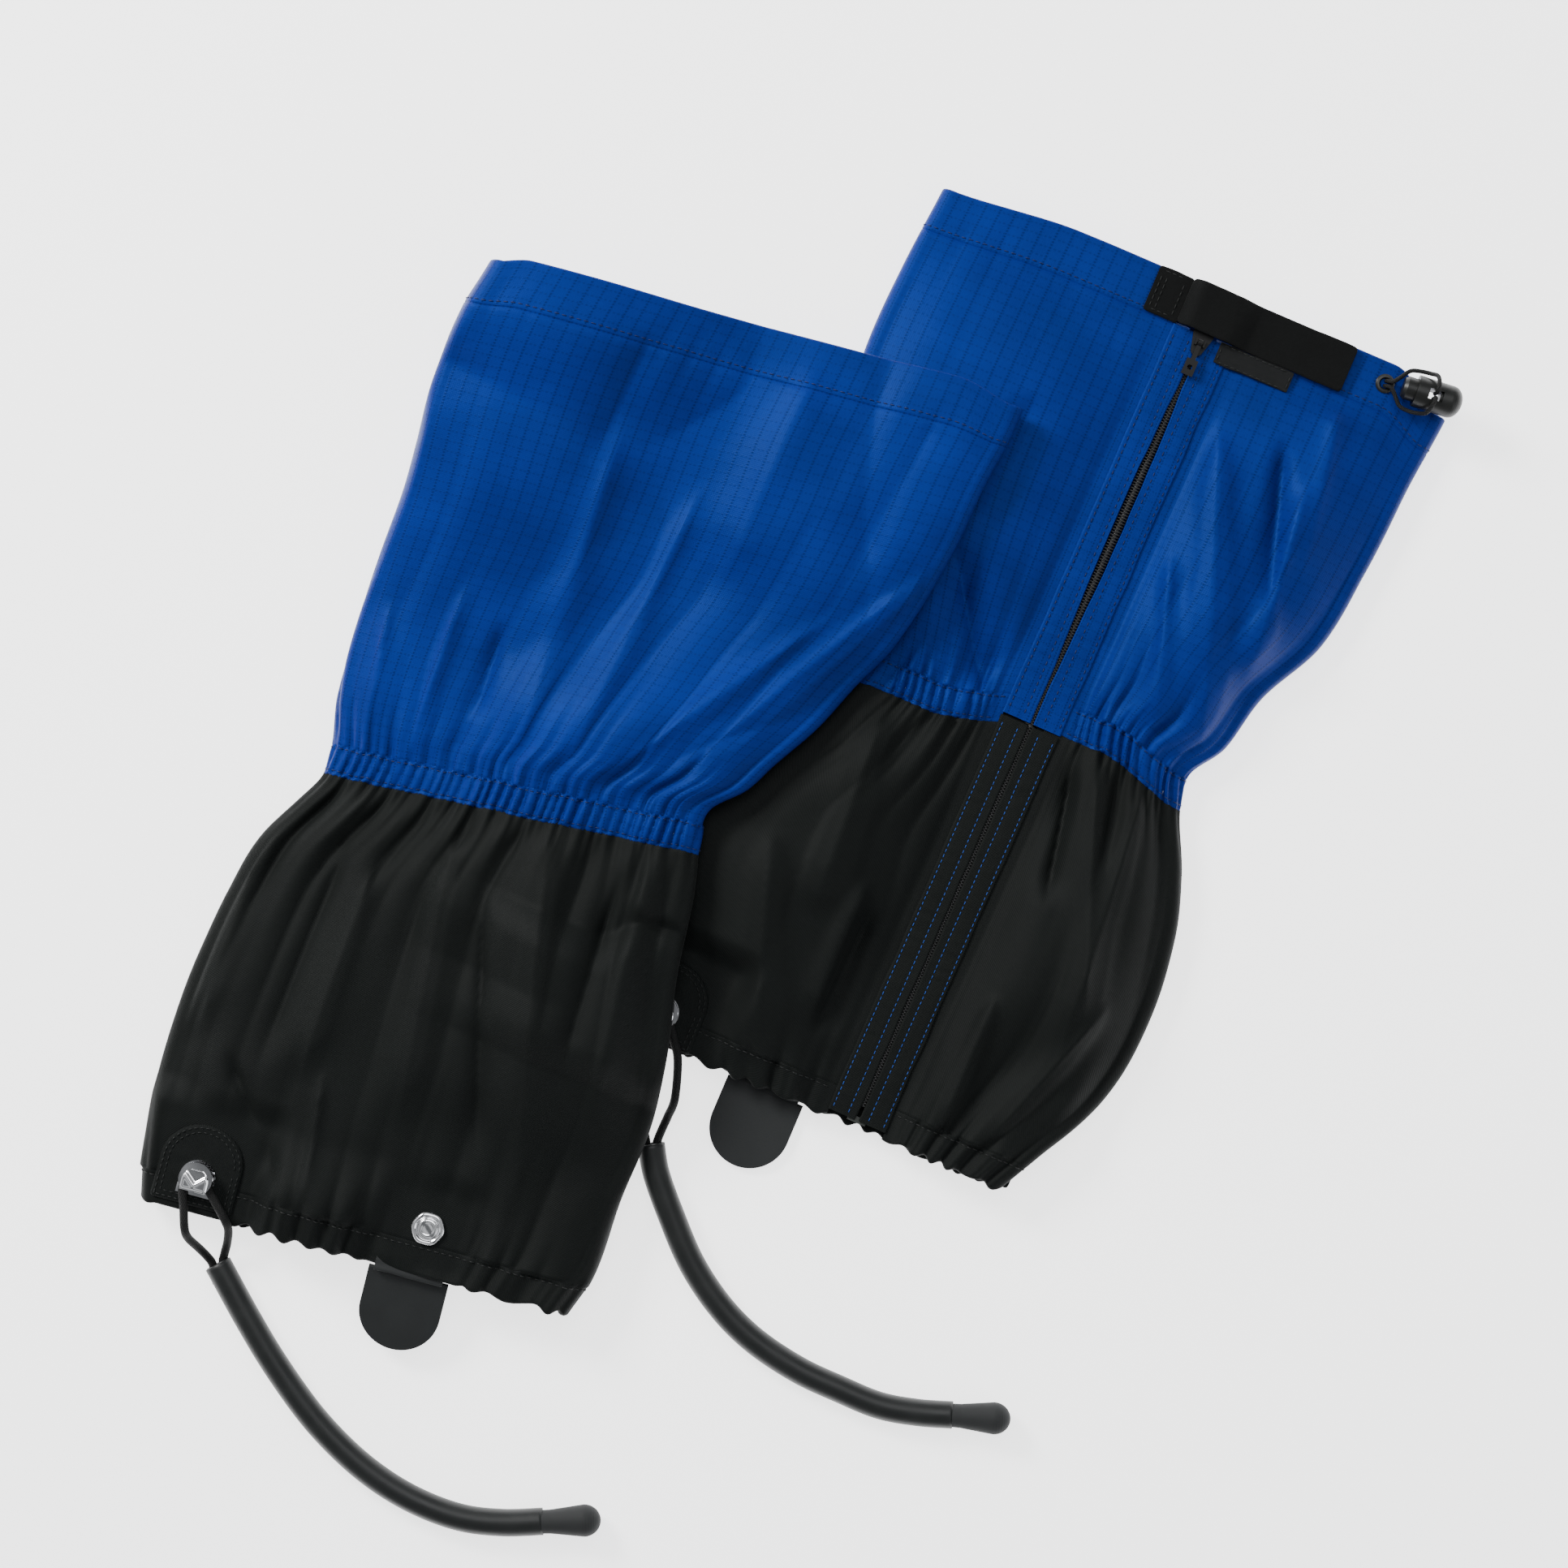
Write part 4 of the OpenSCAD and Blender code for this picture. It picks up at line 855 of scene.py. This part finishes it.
for g in (RIGHT, LEFT):
    s = SIDE[g]
    tube_xy = np.array([(x + ZERO[0], y + ZERO[1], TUBE_Z) for x, y in TUBE_ROUTE[g]])
    middle = smooth_route(tube_xy, 12)
    past = (middle[-1] - middle[-2]) / np.linalg.norm(middle[-1] - middle[-2])
    centre = resample(np.vstack([middle, middle[-1] + INTO_CAP * past]), 1.5)
    hose = tube(s + "_rubber_tube", centre, TUBE_DIAMETER / 2, 32, mouth=(BORE_RADIUS, SLEEVE))
    finish_piece(hose, RUBBER, s + "_strap", s + "_strap_tube")
    metres(middle)

    hook = np.array(place(g, *SIDE_HOOKS[g][0]))
    reach = tube_xy[0][:2] - hook
    long = float(np.linalg.norm(reach))
    ahead = reach / long
    aside = np.array([-ahead[1], ahead[0]])
    off = float((np.array(place(g, SIDE_HOOKS[g][0][0], SIDE_HOOKS[g][0][1] - 3.9)) - hook) @ aside)
    pads = ZIP_PADS[g] if g == RIGHT else FRONT_PADS[g]
    top = pads[0][4] + SEWN_ON + PATCH + METAL + HOOK_GAP / 2
    strand = [(-0.9, 0, top, 1), (0, 2.8, top, 1), (3.4, 4.9, top, 1), (10, 6.4, top, 0.5), (19, 8.5, top, 0),
              (0.63 * long, 8.5, top * 0.8, 0), (0.78 * long, 6, top * 0.46, 0), (0.9 * long, 3.6, 6.3, 0),
              (long, 2.1, TUBE_Z, 0), (long + 8, 1.95, TUBE_Z, 0)]
    one = [(*(hook + ahead * a + aside * (b + off * k)), h) for a, b, h, k in strand]
    other = [(*(hook + ahead * a + aside * (off * k - b)), h) for a, b, h, k in strand[:0:-1]]
    route = smooth_route(other + one, 12)
    loop = tube(s + "_elastic_loop", resample(route, 0.8), SHOCK_CORD / 2, 20)
    finish_piece(loop, CORD, s + "_strap", s + "_strap_loop")
    metres(route)

    for side in (1, -1):
        route = at_lock(g)(smooth_route([(x, side * y, z) for x, y, z in LOCK_ROUTE], 10))
        strand_ = tube(f"{s}_drawcord_end_{'ab'[side < 0]}", resample(route, 0.6), 0.9, 14)
        finish_piece(strand_, CORD, s + "_lock", s + "_cord_loop" if side == 1 else None)
        metres(route)


# ------------------------------------------------------------------ cloth
HEM_DEPTH = 3.4
PANEL_EDGE, HEM_EDGE = 6, 14
MEET = 12.6                                  # hem and casing cloth reach under the facings


FOLDED = [(0.35, 0.0), (0.9, 0.28), (1.2, 0.9), (1.25, 1.7), (1.2, 2.5), (0.9, 3.12), (0.35, HEM_DEPTH)]


def hem_rows(a, b):
    """Rows of a hem from its stitch line a over the fold at b and back inside."""
    way_ = 1 if b > a else -1
    rows = [(a - way_ * 1.5, 1.3, 0.6), (a - way_ * 0.9, 0.55, 0.9), (a - way_ * 0.3, 0.05, 1)]
    rows += [(t, 0, 1) for t in np.linspace(a + way_ * 0.6, b - way_ * 1.6, int(abs(b - a) / 1.3))]
    rows += [(b - way_ * 1.25 + way_ * s, i, 1 - 0.06 * i) for s, i in FOLDED]
    rows += [(t, HEM_DEPTH, 0.5) for t in np.linspace(b - way_ * 2.5, a - way_ * 4, 6)]
    return rows


def at_rows(base, rows):
    """Rows of (s, inset, fold share) with s counted from base."""
    return [(base + s, inset, share) for s, inset, share in rows]


def plain_rows(stations):
    return [(s, 0, 1) for s in stations]


for g in (RIGHT, LEFT):
    s = SIDE[g]
    body = s + "_gaiter"
    low, waist, waist_top, hem, top = BOTTOM_TOP[g], WAIST[g], WAIST_TOP[g], HEM[g], TOP[g]
    upper = at_rows(waist_top, [(-2, 2.0, 0.3), (-1.2, 1.2, 0.6), (-0.5, 0.55, 0.9)])
    upper += plain_rows(np.arange(waist_top + 0.2, waist_top + 40, 1.2))
    upper += plain_rows(np.linspace(waist_top + 40, hem - 1, 75))
    upper += at_rows(hem, [(-0.3, 0.5, 1), (0.8, 1.5, 0.7)])
    casing = at_rows(waist, [(1.5, 2.8, 0.2), (-0.2, 2.0, 0.6), (-0.9, 1.1, 0.9), (-0.9, 0.4, 1)])
    casing += plain_rows(waist - 0.5 + (waist_top - waist + 0.8) * i / 16 for i in range(17))
    casing += at_rows(waist_top, [(0.6, 0.5, 1), (0.5, 1.4, 0.7)])
    lower = at_rows(low, [(-1.2, 1.6, 0.5), (-0.3, 0.5, 0.9)])
    lower += plain_rows(np.linspace(low + 0.3, waist - 0.4, 118))
    lower += at_rows(waist, [(0.3, 0.9, 0.8), (1.2, 1.8, 0.4)])
    for piece, node_, rows, edge, step, mat, slot_, held, length in (
            ("top_hem", "top_hem", hem_rows(hem, top), MEET, 1.3, BLUE, "blue_cloth", "laid", 2 * (top - hem)),
            ("upper", "upper_panel", upper, PANEL_EDGE, 1.05, BLUE, "blue_cloth", "gathered", hem - waist_top),
            ("waist", "waist_casing", casing, MEET, 0.7, BLUE, "blue_cloth", "gathered", 20),
            ("lower", "lower_panel", lower, PANEL_EDGE, 1.05, BLACK, "black_cloth", "gathered", waist - low),
            ("bottom", "bottom_casing", hem_rows(low, BOTTOM[g]), MEET, 0.95, BLACK, "black_cloth", "gathered", 30)):
        ob = cloth(f"{s}_{piece}_cloth", g, rows, edge, step)
        finish_piece(ob, mat, body, f"{s}_{node_}")
    for k, a, b, deep, node_ in (("waist", waist + 1.5, waist_top - 1.5, 1.5, s + "_elastics"),
                                 ("bottom", BOTTOM[g] + 2, low - 2, 1.8, None)):
        strip = cloth(f"{s}_{k}_elastic", g, [(t, deep, 1) for t in np.linspace(a, b, 6)], HEM_EDGE + 1, 1.4)
        finish_piece(strip, ELASTIC, body, node_)
    way = Way(g, HEM_EDGE + 1, 2.0)
    channel = resample(skin(way, top - 5, HEM_DEPTH / 2, 0.3), 1.6)
    draw = tube(s + "_hem_cord", channel, 0.9, 10)
    finish_piece(draw, CORD, body, s + "_drawcord")
    dark = [cloth_line(g, hem + 1.6, 1.2), cloth_line(g, waist_top - 1.1, 0.8), cloth_line(g, waist + 1.4, 0.8)]
    finish_piece(stitch_mesh(s + "_dark_stitches", dark), DARK_THREAD, body)
    black = [cloth_line(g, low - 1.5, 1.0)]
    finish_piece(stitch_mesh(s + "_black_stitches", black), BLACK_THREAD, body)


# ------------------------------------------------------------------ facings and the zip's coil
FACING_OUT, COIL_W = 13, 5.6
SLIDER_AT = [354, 399]
SEAM_AT = [WAIST[0] + 11, WAIST[1] - 1]


def along_zip(g, v):
    return (v - ZIP_FOOT[g][1]) / math.cos(ZIP_TURN[g])


def facing(name, g, side, a, b, seed, wedge=0.0):
    """A folded strip along the slit, sewn down by two stitch lines; its edges wander and it puckers a little."""
    seat = on_zip(g)
    half = 0.7
    profile = [(FACING_OUT + 0.1, -0.5), (FACING_OUT + 0.15, 0.25), (FACING_OUT - 0.1, 0.7),
               (FACING_OUT - 0.6, 0.86)]
    profile += [(x, 0.92) for x in np.linspace(FACING_OUT - 1.1, half + 1.5, 12)]
    profile += [(half + 0.8, 1.0), (half + 0.3, 0.9), (half + 0.05, 0.55), (half, 0.1), (half + 0.15, -0.3),
                (half + 0.7, -0.5), (half + 1.5, -0.5)]

    def wobble(x, y):
        outer = ease((x - 7) / 6)
        inner = 1 - ease((x - half) / 3)
        edge = 0.28 * float(noise(y / 14, seed)) * outer + 0.22 * float(noise(y / 9, seed + 1)) * inner
        edge += wedge * float(plateau(y - SLIDER_AT[g] + 80, 18, 75)) * inner
        valley = math.exp(-((x - 11.4) / 0.6) ** 2) + math.exp(-((x - 4.6) / 0.6) ** 2)
        pucker = 0.16 * float(noise(y / 2.4, seed + 2)) * (1 - abs(x - 8) / 9)
        return edge, (-0.22 * valley + pucker - 0.08) * (x > half + 0.4)
    stations = np.arange(a, b, 0.9)
    prof = profile if side > 0 else [(-x, w) for x, w in profile][::-1]

    def turned(x, y):
        dx, dw = wobble(abs(x), y)
        return side * dx, dw
    return strip_mesh(name, seat, prof, stations, turned)


def seat_line(seat, pts):
    """A stitch path on a seat: points and the seat's own outward normal at each."""
    p = seat(pts)
    return p, np.repeat([seat.a[:3, 2]], len(p), 0)


def coil_mesh(name, g, a, b):
    """The two rows of a closed coil: each turn is a rounded loop that hooks round the middle line."""
    seat = on_zip(g)
    verts, faces = [], []
    pitch = 1.25
    for side in (1, -1):
        for y in np.arange(a + (0 if side > 0 else pitch / 2), b, pitch):
            route = [(side * COIL_W / 2, y, -1.9), (side * COIL_W / 2, y + 0.05, -1.1), (side * 1.7, y + 0.1, -0.66),
                     (side * 0.2, y + 0.1, -0.55), (-side * 0.55, y + 0.15, -0.75), (-side * 0.7, y + 0.25, -1.4),
                     (-side * 0.2, y + 0.3, -2.1), (side * 1.6, y + 0.3, -2.3)]
            rings = tube_rings(route, [0.36, 0.38, 0.38, 0.42, 0.5, 0.5, 0.4, 0.36], 6)
            faces += [f[::-1] for f in capped_faces(len(route), 6, len(verts))]
            verts += [tuple(p) for p in rings.reshape(-1, 3)]
    return mesh_object(name, seat(verts), faces)


for g in (RIGHT, LEFT):
    s = SIDE[g]
    body = s + "_gaiter"
    seam, end = along_zip(g, SEAM_AT[g]), along_zip(g, HEM[g])
    for i, side in enumerate((1, -1)):
        up_ = facing(f"{s}_upper_facing_{'ab'[i]}", g, side, seam + 0.2, end - 0.4, 3 + 7 * i + 20 * g, 1.4)
        finish_piece(up_, BLUE, body, s + "_upper_facings" if side > 0 else None)
        low = facing(f"{s}_lower_facing_{'ab'[i]}", g, side, 1, seam - 0.2, 33 + 7 * i + 11 * g)
        finish_piece(low, BLACK, body, s + "_lower_facings" if side > 0 else None)
    finish_piece(coil_mesh(s + "_coil", g, 7.5, SLIDER_AT[g] - 1), COIL_LOOK, body,
                 s + "_zip_chain")
    seat = on_zip(g)
    blue, dark, black = [], [], []
    for side in (1, -1):
        for x in (4.6, 11.4):
            dark.append(seat_line(seat, [(side * x, y, 0.62) for y in np.arange(seam + 2, end - 1, 4)]))
            blue.append(seat_line(seat, [(side * x, y, 0.62) for y in np.arange(2, seam - 1, 4)]))
    finish_piece(stitch_mesh(s + "_facing_stitches", dark), DARK_THREAD, body)
    finish_piece(stitch_mesh(s + "_contrast_stitches", blue, 1.7, 2.4, 0.19), BLUE_THREAD, body)

# ------------------------------------------------------------------ flap, label and hook patches
FLAP_FROM, FLAP_HINGE, FLAP_TO, FLAP_TALL = -27.5, -12.0, 61.5, 20.0


def flap_mid(x):
    return 2 - 0.55 * float(ease((-8 - x) / 4)) + 5 * float(plateau(x - 1, 7, 19))


def plate(name, seat, outline, top, bottom, bulge, rim, seed):
    """A soft plate with rounded rim over a convex outline of (x, y)."""
    o = np.asarray(outline, float)
    c = o.mean(0)
    rings, heights = [], []
    for share, h in ((1.0, bottom), (1.0, top - rim), (1 - 0.12 * rim / 5, top - 0.35 * rim)):
        rings.append(c + (o - c) * share)
        heights.append(h)
    for k in np.linspace(1 - rim / 10, 0.02, 14):
        rings.append(c + (o - c) * k)
        heights.append(top + bulge * (1 - k * k))
    verts = []
    for ring, h in zip(rings, heights):
        for x, y in ring:
            w = 0.1 * float(noise2(np.array(x / 4.0), np.array(y / 4.0), seed)) if h > bottom else 0
            verts.append((x, y, h + w))
    uv = [(v[0], v[1]) for v in verts]
    return mesh_object(name, seat(verts), capped_faces(len(rings), len(o)), uv)


def strap_plate(name, seat, x0, x1, y0, y1, thick, mid, seed, corner=1.0):
    """A woven strap lying in x with a rounded edge and a slight wave; mid(x) is its middle height."""
    xs = np.concatenate([[x0, x0 + 0.12 * corner, x0 + 0.5 * corner, x0 + corner],
                         np.linspace(x0 + 1.6 * corner, x1 - 1.6 * corner, int((x1 - x0) / 1.0)),
                         [x1 - corner, x1 - 0.5 * corner, x1 - 0.12 * corner, x1]])
    verts, uv = [], []
    h = thick / 2
    for x in xs:
        pull = corner * (1 - math.sqrt(max(0, 1 - max(0, 1 - (x - x0) / corner, 1 - (x1 - x) / corner) ** 2)))
        a = y0 + pull + 0.18 * float(noise(x / 7, seed))
        b = y1 - pull + 0.18 * float(noise(x / 7, seed + 1))
        ring = [(a + 0.35, -h), (a + 0.05, -0.5 * h), (a, 0), (a + 0.05, 0.6 * h), (a + 0.4, h)]
        ring += [(y, h + 0.06 * math.sin(y * 1.9)) for y in np.linspace(a + 1.2, b - 1.2, 12)]
        ring += [(b - 0.4, h), (b - 0.05, 0.6 * h), (b, 0), (b - 0.05, -0.5 * h), (b - 0.35, -h)]
        ring += [(y, -h) for y in np.linspace(b - 2, a + 2, 6)]
        for y, w in ring:
            lift = 0.22 * float(noise2(np.array(x / 9.0), np.array(y / 9.0), seed + 2))
            verts.append((x, y, mid(x) + w + lift))
            uv.append((x, y + (30 if w < 0 else 0)))
    return mesh_object(name, seat(verts), [f[::-1] for f in capped_faces(len(xs), len(ring))], uv)


LABEL_W = [1.6, 1.1]
for g in (RIGHT, LEFT):
    s = SIDE[g]
    body = s + "_gaiter"
    seat = on_hem(g)
    fixed = strap_plate(s + "_flap_fixed_end", seat, FLAP_FROM, FLAP_HINGE - 0.2, 0, FLAP_TALL, 1.4,
                        lambda x: 0.85, 5)
    finish_piece(fixed, FLAP, body, s + "_flap_anchor")
    loops = strap_plate(s + "_loop_patch", seat, 21, 60, 1.5, FLAP_TALL - 1.5, 0.9, lambda x: 0.5, 9)
    finish_piece(loops, FUZZ, body)
    flap = strap_plate(s + "_flap_strap", seat, FLAP_HINGE - 0.6, FLAP_TO, 0, FLAP_TALL, 1.2, flap_mid, 13, 1.6)
    finish_piece(flap, FLAP, s + "_flap", s + "_closure_flap")
    label = strap_plate(s + "_plain_label", seat, 8, 41, -9, 0, 0.6, lambda x, w=LABEL_W[g]: w + 0.3, 17, 0.4)
    finish_piece(label, LABEL_LOOK, body, s + "_fabric_label")
    lines_ = []
    for x in (FLAP_FROM + 2, FLAP_FROM + 4.4, FLAP_HINGE - 3.4):
        lines_.append(seat_line(seat, [(x, y, 1.5) for y in np.arange(1.5, FLAP_TALL - 1.2, 2)]))
    for y in (1.6, FLAP_TALL - 1.6):
        lines_.append(seat_line(seat, [(x, y, 1.5) for x in np.arange(FLAP_FROM + 2, FLAP_HINGE - 3, 2)]))
    for y in (-8.2, -0.8):
        lines_.append(seat_line(seat, [(x, y, LABEL_W[g] + 0.6) for x in np.arange(9, 40.5, 2)]))
    for x in (9, 40):
        lines_.append(seat_line(seat, [(x, y, LABEL_W[g] + 0.6) for y in np.arange(-8.2, -0.7, 1.4)]))
    finish_piece(stitch_mesh(s + "_flap_stitches", lines_, radius=0.2, gap=2.8), THREAD_GREY, body)

    edge_stitch = []
    for i in (0, 1):
        seat = on_side_hook(g, i)
        r = 17.5
        a = np.radians(np.linspace(0, 180, 40))
        outline = [(r * math.cos(t), 6 + r * math.sin(t) * 0.93) for t in a] \
            + [(-r, y) for y in np.linspace(5, -10.5, 14)] + [(-r + 0.4, -11.6)] \
            + [(x, -12) for x in np.linspace(-r + 1.4, r - 1.4, 24)] + [(r - 0.4, -11.6)] \
            + [(r, y) for y in np.linspace(-10.5, 5, 14)]
        patch = plate(f"{s}_hook_patch_{'ab'[i]}", seat, outline, 0.85, -0.9, bulge=0.1, rim=0.7, seed=21 + i)
        finish_piece(patch, PATCH_LOOK, body, s + "_hook_patches" if i == 0 else None)
        for back in (1.5, 3.6):
            k = (r - back) / r
            path = [(r * k * math.cos(t), 6 + r * k * math.sin(t) * 0.93, 0.95) for t in a] \
                + [(-r * k, y, 0.95) for y in np.linspace(4, -12 + back, 10)] \
                + [(x, -12 + back, 0.95) for x in np.linspace(-r * k, r * k, 20)] \
                + [(r * k, y, 0.95) for y in np.linspace(-12 + back, 5, 10)]
            edge_stitch.append(seat_line(seat, path))
    finish_piece(stitch_mesh(s + "_patch_stitches", edge_stitch, radius=0.2, long=1.9, gap=2.6), THREAD_GREY, body)

# ------------------------------------------------------------------ hardware, kept from the CAD or laid on it
def keep(name, mat, width, segments):
    ob = bpy.data.objects[name]
    ob.data.materials.clear()
    ob.data.materials.append(mat)
    b = ob.modifiers.new("bevel", "BEVEL")
    b.width, b.segments, b.limit_method, b.angle_limit = width * MM, segments, "ANGLE", math.radians(35)
    for p in ob.data.polygons:
        p.use_smooth = True
    ob.modifiers.new("normals", "WEIGHTED_NORMAL").keep_sharp = True


KEPT = [("zip_tapes", TAPE, 0.1, 1), ("zip_slider", PAINT, 0.3, 3), ("zip_pull", PAINT, 0.2, 3),
        ("zip_retainer", BOX, 0.3, 3), ("eyelet", PLASTIC, 0.12, 2), ("lock_barrel", PLASTIC, 0.35, 3),
        ("lock_plunger", PLASTIC, 0.35, 3), ("lock_spring", STEEL, 0.05, 1), ("side_hooks", CHROME, 0.28, 3),
        ("hook_rivets", CHROME, 0.1, 2), ("lace_hook", CHROME, 0.3, 3), ("front_tab", TAB_RUBBER, 0.7, 4),
        ("strap_end_cap", END_RUBBER, 0.3, 3)]
for s in SIDE:
    for piece, mat, width, segments in KEPT:
        keep(f"{s}_{piece}", mat, width, segments)

HOOK_TOP = PATCH + 2 * METAL + HOOK_GAP
for g in (RIGHT, LEFT):
    s = SIDE[g]
    # the tab's sewn end, from its hinge line into the hem
    u, v = TAB[g]
    up = 1 if g == RIGHT else -1
    seat = Seat(g, u, v, float(front_face(g, np.array(u), np.array(v + 2.0))) + up * HEM_DEPTH / 2, up)
    sewn = strap_plate(s + "_tab_base", seat, -14.6, 14.6, -0.4, 9, 1.7, lambda x: 0.0, 27, 0.5)
    finish_piece(sewn, TAB_RUBBER, s + "_gaiter")
    for i in (0, 1):
        seat = on_side_hook(g, i)
        depth = 1.0 if seat.a[2, 2] > 0 else 0.35       # little room above the floor
        verts = []
        xs, ys = np.linspace(-5.6, 5.6, 23), np.linspace(-5.2, 4.6, 23)
        for y in ys:
            for x in xs:
                side = math.sqrt(max(0.0, 1 - (max(0.0, y + 1) / 5.7) ** 2))
                crease = abs(x) * side * 0.9 - (y + 2.6)
                press = 1.0 * math.exp(-(crease / 0.9) ** 2) + 0.45 * float(ease(np.array(crease / 2.0)))
                edge = float(ease(np.array((5.6 - abs(x)) / 0.9)) * ease(np.array((4.6 - abs(y + 0.3)) / 0.9)))
                verts.append((x * side, y, HOOK_TOP - 0.02 + (0.12 + depth * press) * edge))
        faces = grid_faces(len(ys), len(xs))
        ob = mesh_object(f"{s}_hook_face_{'ab'[i]}", seat(verts), faces)
        finish_piece(ob, CHROME, s + "_gaiter")
    seat = on_front(g)
    verts = []
    for r, w in ((6.9, 1.1), (6.7, 1.5), (6.0, 1.95), (5.3, 1.8), (4.9, 1.25), (4.3, 1.2), (4.15, 1.9), (3.7, 2.15),
                 (2.6, 2.2), (2.2, 2.0), (1.9, 2.05), (0.9, 2.15), (0.1, 2.15)):
        for k in range(48):
            a = 2 * math.pi * k / 48
            lobe = 1 + (0.03 * math.cos(6 * a) if r > 5 else 0)
            verts.append((r * lobe * math.cos(a), r * lobe * math.sin(a), w))
    ob = mesh_object(s + "_rivet_face", seat(verts), grid_faces(13, 48, True))
    finish_piece(ob, CHROME, s + "_gaiter")

# ------------------------------------------------------------------ floor and light
floor = bpy.data.meshes.new("floor")
floor.from_pydata([(-15, -15, 0), (15, -15, 0), (15, 15, 0), (-15, 15, 0)], [], [(0, 1, 2, 3)])
floor = bpy.data.objects.new("floor", floor)
bpy.context.scene.collection.objects.link(floor)
paper, nt, b = material("paper", (0.93, 0.935, 0.94), 0.8, spec=0.2)
b.inputs["Emission Color"].default_value = (1, 1, 1, 1)
b.inputs["Emission Strength"].default_value = 2.2
floor.data.materials.append(paper)


def lamp(name, at, toward, size, watts, color):
    data = bpy.data.lights.new(name, "AREA")
    data.shape, data.size, data.energy, data.color = "SQUARE", size, watts, color
    ob = bpy.data.objects.new(name, data)
    ob.location = at
    ob.rotation_euler = (Vector(toward) - Vector(at)).to_track_quat("-Z", "Y").to_euler()
    bpy.context.scene.collection.objects.link(ob)
    return ob


lamp("key", (-1.2, 1.1, 1.1), (0, 0, 0), 0.6, 46, (1.0, 0.99, 0.97))
lamp("top", (0.1, 0.7, 1.9), (0, 0, 0), 1.2, 16, (0.97, 0.98, 1.0))
lamp("fill", (1.5, -0.9, 1.0), (0, 0, 0), 1.2, 6, (0.95, 0.97, 1.0))
world = bpy.data.worlds.new("studio")
bpy.context.scene.world = world
world.use_nodes = True
sky = world.node_tree
ray = sky.nodes.new("ShaderNodeTexCoord").outputs["Generated"]
part_ = sky.nodes.new("ShaderNodeSeparateXYZ")
sky.links.new(ray, part_.inputs[0])
band = wave(sky, plus(sky, part_.outputs[0], times(sky, part_.outputs[1], 0.6)), 0.5)
DIM, BRIGHT, HORIZON = (0.3, 0.31, 0.32), (1.25, 1.28, 1.3), (1.6, 1.62, 1.65)
glow = mix_color(sky, clamp01(sky, scaled(sky, band, 3.0, -1.0)), DIM, BRIGHT)
high = clamp01(sky, scaled(sky, part_.outputs[2], 4.0, -0.8))
sky.links.new(mix_color(sky, high, HORIZON, glow), sky.nodes["Background"].inputs[0])
sky.nodes["Background"].inputs[1].default_value = 0.45
